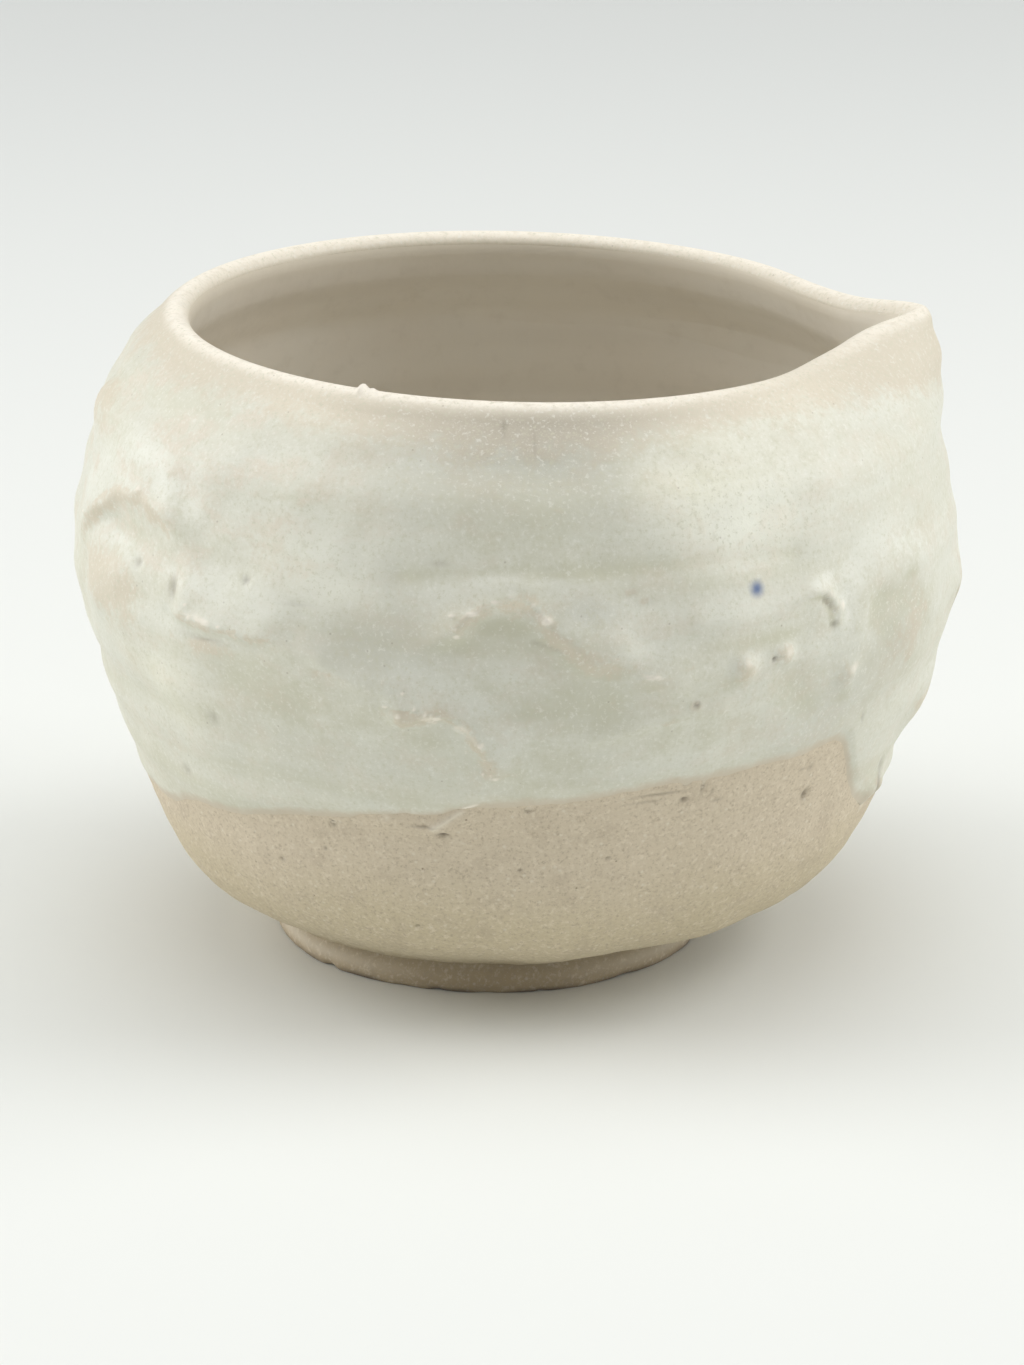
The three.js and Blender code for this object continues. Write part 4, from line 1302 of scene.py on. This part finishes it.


class CUP_OT_dipped_glaze(bpy.types.Operator):
    """Spin the dipped coat, lay it over the wall and raise it over the relief"""

    bl_idname = "cup.dipped_glaze"
    bl_label = "Dipped glaze"

    def execute(self, context):
        scene = context.scene
        size = scene.cup_sizes
        count = scene.cup_counts
        wall = Wall(size)
        steps = np.cumsum([0, count.relief_rows, count.neck_rows, count.rim_rows, count.tuck_rows])
        rows = steps[-1] + 1
        back = count.back_rows
        height = np.linspace(COAT_FROM, size.height, rows)
        profile = [(size.belly_radius, z) for z in height]
        profile += [(size.belly_radius - MM, z) for z in np.linspace(size.height, COAT_FROM, back)]
        profile.append(profile[0])
        piece, row, angle = spin_profile("dipped_glaze", profile, count.columns)
        angle = crowd_to_front(angle)
        row = np.where(row == len(profile) - 1, 0, row)
        front = row < rows
        degrees = np.degrees(angle)
        hem = wall.run_at(round_about(degrees, DIP_LINE)) - size.hem_ramp * HEM_BELOW
        hem = hem + unevenness(angle, np.zeros_like(angle), HEM_WAVES)
        neck = wall.run_at(RELIEF_TO)
        tucked = wall.crest + size.tuck
        low = hem + (neck - hem) * row / steps[1]
        high = np.interp(row, steps[1:], [neck, wall.top, wall.crest, tucked])
        behind = tucked + (hem - tucked) * (row - rows) / (back - 1)
        run = np.where(front, np.where(row <= steps[1], low, high), behind)
        relief = Relief(wall, run, angle)
        relief.add_coat()
        z = np.interp(run, wall.run, wall.section[:, 1])
        quiet = smooth_step((wall.top - run) / QUIET_RIM)
        lift = size.coat_gap + size.glaze + relief.rise
        lift = lift + quiet * (throwing_marks(angle, run) + unevenness(angle, run, COAT_WAVES))
        from_hem = np.maximum(run - hem, 0.0)
        skin = clay_skin(size, angle, run)
        up_ramp = from_hem / size.hem_ramp
        thick = smooth_step(up_ramp)
        lift = (skin - HEM_SUNK) * (1 - thick) + lift * thick
        tucked_in = (run - wall.crest) / size.tuck
        lift = lift - TUCK_SUNK * smooth_step((tucked_in - TUCK_LEVEL) / (1 - TUCK_LEVEL))
        for at, share_over, half, rise in RIM_CRUMBS:
            off = (angle - math.radians(at)) * size.mouth_radius
            along = run - wall.top - share_over * (wall.crest - wall.top)
            crumb = bell(off, half * MM) * bell(along, half * MM)
            lift = lift + rise * MM * crumb
            relief.crumb = np.maximum(relief.crumb, crumb)
        under = skin - BACK_SUNK - BACK_DEEP * thick
        lift = np.where(front, lift, np.minimum(under, lift - COAT_LEAST))
        move_points(piece, wall.place(run, angle, lift))
        outward_faces(piece)
        band = smooth_step((z - round_about(degrees, BAND_LINE) + BAND_BELOW) / BAND_FADE)
        # Painted highlight along the rim's crest.
        wear_and_highlight = bell(run - wall.crest + HIGHLIGHT_OUTSIDE, HIGHLIGHT_HALF)
        marks = {
            "crest": relief.crest,
            "pool": relief.pool,
            "stain": relief.stain,
            # Painted light and shade, about 0.5.
            "tone": 0.5 + relief.tone,
            "band": band,
            "blush": about(degrees, *BLUSH_AT) * smooth_step((z - BLUSH_FROM) / BLUSH_FADE),
            "pale": relief.pale,
            "crumb": relief.crumb,
            "hem": 1 - smooth_step((up_ramp - HEM_BARE) / HEM_FADE),
            "lip": wear_and_highlight * (1 - LIP_SIDE_DIM * about(degrees, *LIP_SIDE)),
        }
        for name, values in marks.items():
            mark_points(piece, name, values)
        finish_piece(piece, dipped_glaze_finish(scene.cup_colours, wall), "outer_glaze", "outer_glaze")
        return {"FINISHED"}


LINER_PACE = ([0.0, 0.25, 1.0], [0.0, 0.045, 1.0])  # shares of the rows and of the way to the middle
LINER_QUIET = 6 * MM  # way from the rim in which the unevenness comes up
LINER_PROUD = 0.06 * MM  # how far the liner stands over its solid
LINER_SUNK = 0.5 * MM  # how far its edge sinks under the dipped coat
LINER_EDGE = 0.5 * MM  # breadth of that edge
LINER_BACK = 0.2 * MM  # height of its hidden side over the clay
LINER_BAND = 1.6 * MM  # breadth of the rim's colour inside the mouth


class CUP_OT_liner(bpy.types.Operator):
    """Spin the liner coat from the rim to the middle of the floor"""

    bl_idname = "cup.liner"
    bl_label = "Liner glaze"

    def execute(self, context):
        scene = context.scene
        size = scene.cup_sizes
        count = scene.cup_counts
        wall = Wall(size)
        rows = count.liner_rows
        back = count.back_rows
        radius = np.linspace(size.mouth_radius, 0.0, rows)
        profile = [(r, size.height) for r in radius]
        profile += [(r, size.height - MM) for r in radius[:: -(rows // back)]]
        if profile[-1][0] != size.mouth_radius:
            profile.append((size.mouth_radius, size.height - MM))
        profile.append(profile[0])
        piece, row, angle = spin_profile("liner_glaze", profile, count.liner_columns)
        shares = np.array([1 - r / size.mouth_radius for r, _ in profile])
        start = wall.crest
        run = start + (wall.end - start) * np.interp(shares[row], *LINER_PACE)
        front = (row < rows) | (row == len(profile) - 1)
        from_rim = run - start
        lift = np.full_like(run, size.coat_gap + size.liner)
        rings = wheel_rings(angle, run, 4.8 * MM, 0.04 * MM)
        waves = ripple(angle, run, LINER_WAVES, LINER_SEED)
        lift = lift + smooth_step(from_rim / LINER_QUIET) * (rings + waves)
        lift = lift + LINER_PROUD - LINER_SUNK * smooth_step(1 - from_rim / LINER_EDGE)
        lift = np.where(front, lift, LINER_BACK)
        move_points(piece, wall.place(run, angle, lift))
        outward_faces(piece)
        mark_points(piece, "band", bell(np.maximum(from_rim, 0), LINER_BAND))
        finish_piece(piece, liner_finish(scene.cup_colours), "inner_glaze", "inner_glaze")
        return {"FINISHED"}


FLOOR_INSET = 0.6  # ring of points under the floor, of the seat's radius
FOLD_SHARE = 0.6  # height of the low fold in the clay, of that in the coat
COVER_FROM = 1.0 * MM  # height over the dip line where the clay starts to draw back
COVER_FADE = 2.0 * MM  # height in which it does
COVERED_SUNK = 0.4 * MM  # how far it lies back under the dipped coat
LINED_SUNK = 0.1 * MM  # the same under the liner
SEAT_ROUND = 1.0 * MM  # height in which the skin comes up from the foot ring
SEAM_SHADE = 0.15  # painted shade where the wall meets the foot ring
SEAM_HALF = 1.2 * MM  # its half width
CREASE_PALE = 0.8  # paleness of the creases


class CUP_OT_clay_wall(bpy.types.Operator):
    """Spin the clay body, bare at the foot of the wall"""

    bl_idname = "cup.clay_wall"
    bl_label = "Clay wall"

    def execute(self, context):
        scene = context.scene
        size = scene.cup_sizes
        count = scene.cup_counts
        wall = Wall(size)
        rows = count.clay_rows
        bare = np.linspace(0.0, wall.run_at(BARE_TO), rows)
        rest = np.linspace(bare[-1], wall.end, count.hidden_rows + 1)[1:]
        runs = np.concatenate([bare, rest])
        radius = np.interp(runs, wall.run, wall.section[:, 0])
        z = np.interp(runs, wall.run, wall.section[:, 1])
        profile = [(0.0, size.foot_height), (size.seat_radius * FLOOR_INSET, size.foot_height)]
        profile += list(zip(radius, z))
        profile[-1] = (0.0, profile[-1][1])
        piece, row, angle = spin_profile("clay_wall", profile, count.columns)
        angle = crowd_to_front(angle)
        on_wall = row >= 2
        run = runs[np.maximum(row - 2, 0)]
        relief = Relief(wall, run, angle)
        path, rise, outside, inside, _ = COILS["low_fold_coil"]
        relief.add_swell(path, FOLD_SHARE * rise, outside, inside)
        for crease in CREASES:
            relief.add_ridge(*crease, warm=1.0)
        relief.lay(relief.add_mark, CLAY_MARKS)
        lift = clay_skin(size, angle, run) + relief.rise
        hem = wall.run_at(round_about(np.degrees(angle), DIP_LINE))
        covered = smooth_step((run - hem - COVER_FROM) / COVER_FADE)
        lift = lift * smooth_step(run / SEAT_ROUND) * (1 - covered) - COVERED_SUNK * covered
        lift = np.where(run < wall.over, lift, -LINED_SUNK)
        places = wall.place(run, angle, lift)
        before = points_of(piece)
        places[~on_wall] = before[~on_wall]
        move_points(piece, places)
        outward_faces(piece)
        # Painted shade where the wall meets the foot ring.
        seam = SEAM_SHADE * bell(run, SEAM_HALF)
        mark_points(piece, "stain", np.maximum(relief.stain, seam))
        mark_points(piece, "pale", relief.crest * CREASE_PALE)
        # The lowest millimetres of the wall darken towards the foot: partly browner clay, partly painted
        # shade under the overhang.
        finish = clay_finish("bare_clay", scene.cup_colours, dark_low=0.45)
        finish_piece(piece, finish, "clay", "thrown_body")
        return {"FINISHED"}


FOOT_WEAR = 0.4 * MM  # rounding of the ring's lower edges
CHIP_HEIGHT = 0.8 * MM  # height of the edge that chips
CHIP_LIFT = 0.8  # how far a chip lifts the edge, of its depth
SCORCH_AND_CONTACT_SHADOW = 0.95  # darkness of the lower edge: partly a scorched edge, partly a painted contact shadow
SCORCH_AND_SHADOW_HEIGHT = 0.55 * MM  # its height
SCORCH_AND_SHADOW_PATCH = (0.7, 0.3, 3 * MM, 14)  # mean, amount, size of the patches and seed
CREASE_SHADE = 0.16  # painted shade in the crease under the wall
CREASE_SHADE_HEIGHT = 0.9 * MM  # its height
FRONT_AT = (-90, 38)  # degrees and spread of the front
FRONT_SHADE = 0.3  # painted shade on the front of the ring
LEDGE_HIGHLIGHT = 0.65  # painted highlight on the ring's middle away from the front
LEDGE_HIGHLIGHT_BAND = 0.8 * MM  # half height of that painted highlight


class CUP_OT_foot_ring(bpy.types.Operator):
    """Spin the foot ring and wear its lower edge"""

    bl_idname = "cup.foot_ring"
    bl_label = "Foot ring"

    def execute(self, context):
        scene = context.scene
        size = scene.cup_sizes
        outer = size.foot_radius
        inner = size.foot_radius - size.foot_width
        top = size.foot_height
        wear = FOOT_WEAR
        outline = [
            (inner, top), (inner - 0.1 * MM, top / 2), (inner + 0.1 * MM, wear), (inner + wear, 0.0),
            ((inner + outer) / 2, 0.0), (outer - wear, 0.0), (outer - 0.2 * MM, 0.35 * wear),
            (outer, 0.35 * top), (outer - 0.12 * MM, 0.6 * top), (outer - 0.5 * MM, 0.85 * top),
            (outer - 0.7 * MM, top),
        ]
        profile = [tuple(p) for p in smooth_path(outline, 6)]
        profile.append(profile[0])
        piece, _, angle = spin_profile("foot_rim", profile, scene.cup_counts.foot_columns)
        places = points_of(piece)
        radius = np.hypot(places[:, 0], places[:, 1])
        z = places[:, 2]
        degrees = np.degrees(angle)
        outside = smooth_step((radius - (inner + outer) / 2) / (1.5 * MM))
        wobble = unevenness(angle, z, FOOT_WAVES, outer)
        level = np.zeros_like(angle)
        chips = level
        for at, wide, depth in FOOT_CHIPS:
            chips = np.maximum(chips, depth * MM * about(degrees, at, wide))
        chips = chips + np.maximum(unevenness(angle, level, FOOT_NICKS, outer), 0.0)
        low = bell(z, CHIP_HEIGHT)
        radius = radius + outside * (wobble - low * chips)
        at_edge = smooth_step((radius - outer + 1.2 * MM) / (0.8 * MM))
        z = z + outside * low * chips * CHIP_LIFT * at_edge
        x = radius * np.cos(angle) + size.foot_shift
        move_points(piece, np.stack([x, radius * np.sin(angle), np.maximum(z, 0.0)], axis=1))
        outward_faces(piece)
        mean, amount, patch, seed = SCORCH_AND_SHADOW_PATCH
        patchy = mean + amount * np.clip(uneven(angle, level, patch, seed, outer), -1, 1)
        # The lower edge: a scorched edge and a painted contact shadow.
        scorch_and_shadow = SCORCH_AND_CONTACT_SHADOW * bell(z, SCORCH_AND_SHADOW_HEIGHT) * patchy
        # Painted shade in the crease under the wall.
        crease_shade = CREASE_SHADE * smooth_step(1 + (z - top) / CREASE_SHADE_HEIGHT)
        # Painted shade on the front of the ring.
        front = about(degrees, *FRONT_AT)
        dark = np.maximum(np.maximum(scorch_and_shadow, crease_shade), FRONT_SHADE * front)
        mark_points(piece, "stain", outside * dark)
        # Painted highlight on the ring's middle.
        wear_and_highlight = bell(z - 0.5 * top, LEDGE_HIGHLIGHT_BAND)
        mark_points(piece, "pale", outside * LEDGE_HIGHLIGHT * (1 - front) * wear_and_highlight)
        finish = clay_finish("foot_clay", scene.cup_colours, dark_low=0.75)
        finish_piece(piece, finish, "foot_clay", "foot_ring")
        return {"FINISHED"}


BALL_SEGMENTS = 32
BALL_RINGS = 48
PRESSED = 0.7  # height of a piece's clay, of the swelling in the coat
ROOT = 1.1 * MM  # how far a piece goes into the wall
STAND_OFF = 0.1 * MM  # height of its middle over the wall
HIDDEN_PALE = 0.5  # paleness of the clay under the coat


class CUP_OT_relief(bpy.types.Operator):
    """Press the coils, pads and pellets of clay on the wall, under the coat"""

    bl_idname = "cup.relief"
    bl_label = "Pressed relief"

    def execute(self, context):
        scene = context.scene
        wall = Wall(scene.cup_sizes)
        finish = clay_finish("relief_clay", scene.cup_colours, dark_low=0.0)
        for name, (path, rise, outside, inside, _) in COILS.items():
            self.press(wall, finish, name, path, rise, COIL_SHARE * outside, COIL_SHARE * inside)
        for name, (degrees, height, half_length, half_breadth, rise, turn) in PADS.items():
            path = self.straight(degrees, height, half_length, turn)
            self.press(wall, finish, name, path, rise, PAD_SHARE * half_breadth, PAD_SHARE * half_breadth)
        for name, (degrees, height, half, rise) in PELLETS.items():
            path = self.straight(degrees, height, half, 0.0)
            self.press(wall, finish, name, path, rise, PAD_SHARE * half, PAD_SHARE * half)
        return {"FINISHED"}

    @staticmethod
    def straight(degrees, height, half, turn):
        """A short straight path about a place on the wall."""
        reach = math.degrees(half / WALL_RADIUS) * math.cos(math.radians(turn))
        climb = half * math.sin(math.radians(turn))
        return [(degrees - reach, height - climb), (degrees, height), (degrees + reach, height + climb)]

    def press(self, wall, finish, name, path, rise, outside, inside):
        """Rolls a ball of clay out along a path on the wall and flattens its back."""
        deselect_all()
        bpy.ops.mesh.primitive_uv_sphere_add(segments=BALL_SEGMENTS, ring_count=BALL_RINGS, radius=1.0)
        piece = bpy.context.object
        piece.name = name + "_clay"
        ball = points_of(piece)
        line = smooth_path([(d / SCALE, z / SCALE) for d, z in path], 12) * SCALE
        way = np.linspace(-1, 1, len(line))
        degrees = np.interp(ball[:, 2], way, line[:, 0])
        height = np.interp(ball[:, 2], way, line[:, 1])
        ahead = np.gradient(line, axis=0) * np.array([DEGREE_LENGTH, 1.0])
        ahead /= np.linalg.norm(ahead, axis=1)[:, None]
        east = np.interp(ball[:, 2], way, ahead[:, 0])
        north = np.interp(ball[:, 2], way, ahead[:, 1])
        aside = np.where(ball[:, 1] > 0, outside, inside) * ball[:, 1] * MM
        run = wall.run_at(height * MM) + aside * east
        radius = np.interp(run, wall.run, wall.section[:, 0])
        angle = np.radians(degrees) - aside * north / radius
        proud = ball[:, 0] * np.where(ball[:, 0] > 0, PRESSED * rise * MM, ROOT)
        move_points(piece, wall.place(run, angle, STAND_OFF + proud))
        outward_faces(piece)
        mark_points(piece, "stain", np.zeros_like(angle))
        mark_points(piece, "pale", np.full_like(angle, HIDDEN_PALE))
        finish_piece(piece, finish, "relief_clay", name)


FLOOR_RADIUS = 2.5
FLOOR_SIDES = 96
FLOOR_PAINTED_FALLOFF = (0.08, 0.5, 0.0, 0.9)  # near and far from the cup, share of the backdrop's colour at each: painted fall-off of light, the floor darker away from the cup
FLOOR_SHEEN = 0.2
LAMP_TARGET = (0.0, 0.0, 0.04)


class CUP_OT_stage(bpy.types.Operator):
    """Lay the floor, hang the lights and set the camera"""

    bl_idname = "cup.stage"
    bl_label = "Stage"

    def execute(self, context):
        scene = context.scene
        stage = scene.cup_stage
        deselect_all()
        bpy.ops.mesh.primitive_circle_add(vertices=FLOOR_SIDES, radius=FLOOR_RADIUS, fill_type="NGON")
        floor = context.object
        floor.name = "floor"
        floor.data.materials.append(self.floor_finish(stage))
        for name, (across, place) in LAMPS.items():
            self.hang(name, getattr(stage, name), across, place)
        self.light_sky(scene, stage)
        self.set_camera(scene, stage)
        scene.view_settings.view_transform = "Standard"
        return {"FINISHED"}

    def floor_finish(self, stage):
        f = Finish("floor", 0.85, stage.floor)
        # Painted fall-off of light: the floor darkens away from the cup.
        f.lay(f.span(f.distance((0.0, 0.0, 0.0)), *FLOOR_PAINTED_FALLOFF), stage.backdrop)
        f.set("Base Color", f.base)
        f.shader.inputs["Specular IOR Level"].default_value = FLOOR_SHEEN
        return f.material

    def hang(self, name, power, across, place):
        bpy.ops.object.light_add(type="AREA", location=place)
        lamp = bpy.context.object
        lamp.name = name + "_light"
        lamp.data.shape = "DISK"
        lamp.data.size = across
        lamp.data.energy = power
        aim = [t - p for t, p in zip(LAMP_TARGET, place)]
        flat = math.hypot(aim[0], aim[1])
        lamp.rotation_euler = (math.atan2(flat, -aim[2]), 0.0, math.atan2(aim[1], aim[0]) - math.pi / 2)

    def light_sky(self, scene, stage):
        world = bpy.data.worlds.new("sky")
        scene.world = world
        world.use_nodes = True
        tree = world.node_tree
        even = tree.nodes["Background"]
        even.inputs["Color"].default_value = (1.0, 1.0, 1.0, 1.0)
        even.inputs["Strength"].default_value = stage.sky
        seen = tree.nodes.new("ShaderNodeBackground")
        seen.inputs["Color"].default_value = (*stage.backdrop, 1.0)
        path = tree.nodes.new("ShaderNodeLightPath")
        pick = tree.nodes.new("ShaderNodeMixShader")
        tree.links.new(path.outputs["Is Camera Ray"], pick.inputs[0])
        tree.links.new(even.outputs[0], pick.inputs[1])
        tree.links.new(seen.outputs[0], pick.inputs[2])
        tree.links.new(pick.outputs[0], tree.nodes["World Output"].inputs["Surface"])

    def set_camera(self, scene, stage):
        back = math.cos(stage.elevation) * stage.distance
        up = math.sin(stage.elevation) * stage.distance
        place = (stage.target[0], stage.target[1] - back, stage.target[2] + up)
        bpy.ops.object.camera_add(location=place, rotation=(math.pi / 2 - stage.elevation, 0.0, 0.0))
        camera = bpy.context.object
        camera.data.lens = stage.lens
        camera.data.clip_start = 0.01
        camera.data.clip_end = 20.0
        scene.camera = camera


class CUP_PT_panel(bpy.types.Panel):
    """Buttons for the cup's pieces"""

    bl_idname = "CUP_PT_panel"
    bl_label = "Pouring Cup"
    bl_space_type = "VIEW_3D"
    bl_region_type = "UI"
    bl_category = "Cup"

    def draw(self, context):
        for operator in PIECES:
            self.layout.operator(operator.bl_idname)


PIECES = (
    CUP_OT_clay_wall,
    CUP_OT_foot_ring,
    CUP_OT_liner,
    CUP_OT_dipped_glaze,
    CUP_OT_relief,
    CUP_OT_stage,
)
SETTINGS = {
    "cup_sizes": CupSizes,
    "cup_colours": CupColours,
    "cup_stage": CupStage,
    "cup_counts": CupCounts,
}


def register():
    for group in SETTINGS.values():
        bpy.utils.register_class(group)
    for name, group in SETTINGS.items():
        setattr(bpy.types.Scene, name, PointerProperty(type=group))
    for operator in PIECES:
        bpy.utils.register_class(operator)
    bpy.utils.register_class(CUP_PT_panel)


def unregister():
    bpy.utils.unregister_class(CUP_PT_panel)
    for operator in reversed(PIECES):
        bpy.utils.unregister_class(operator)
    for name in SETTINGS:
        delattr(bpy.types.Scene, name)
    for group in reversed(list(SETTINGS.values())):
        bpy.utils.unregister_class(group)


def main():
    register()
    bpy.ops.cup.clay_wall()
    bpy.ops.cup.foot_ring()
    bpy.ops.cup.liner()
    bpy.ops.cup.dipped_glaze()
    bpy.ops.cup.relief()
    bpy.ops.cup.stage()


if __name__ == "__main__":
    main()
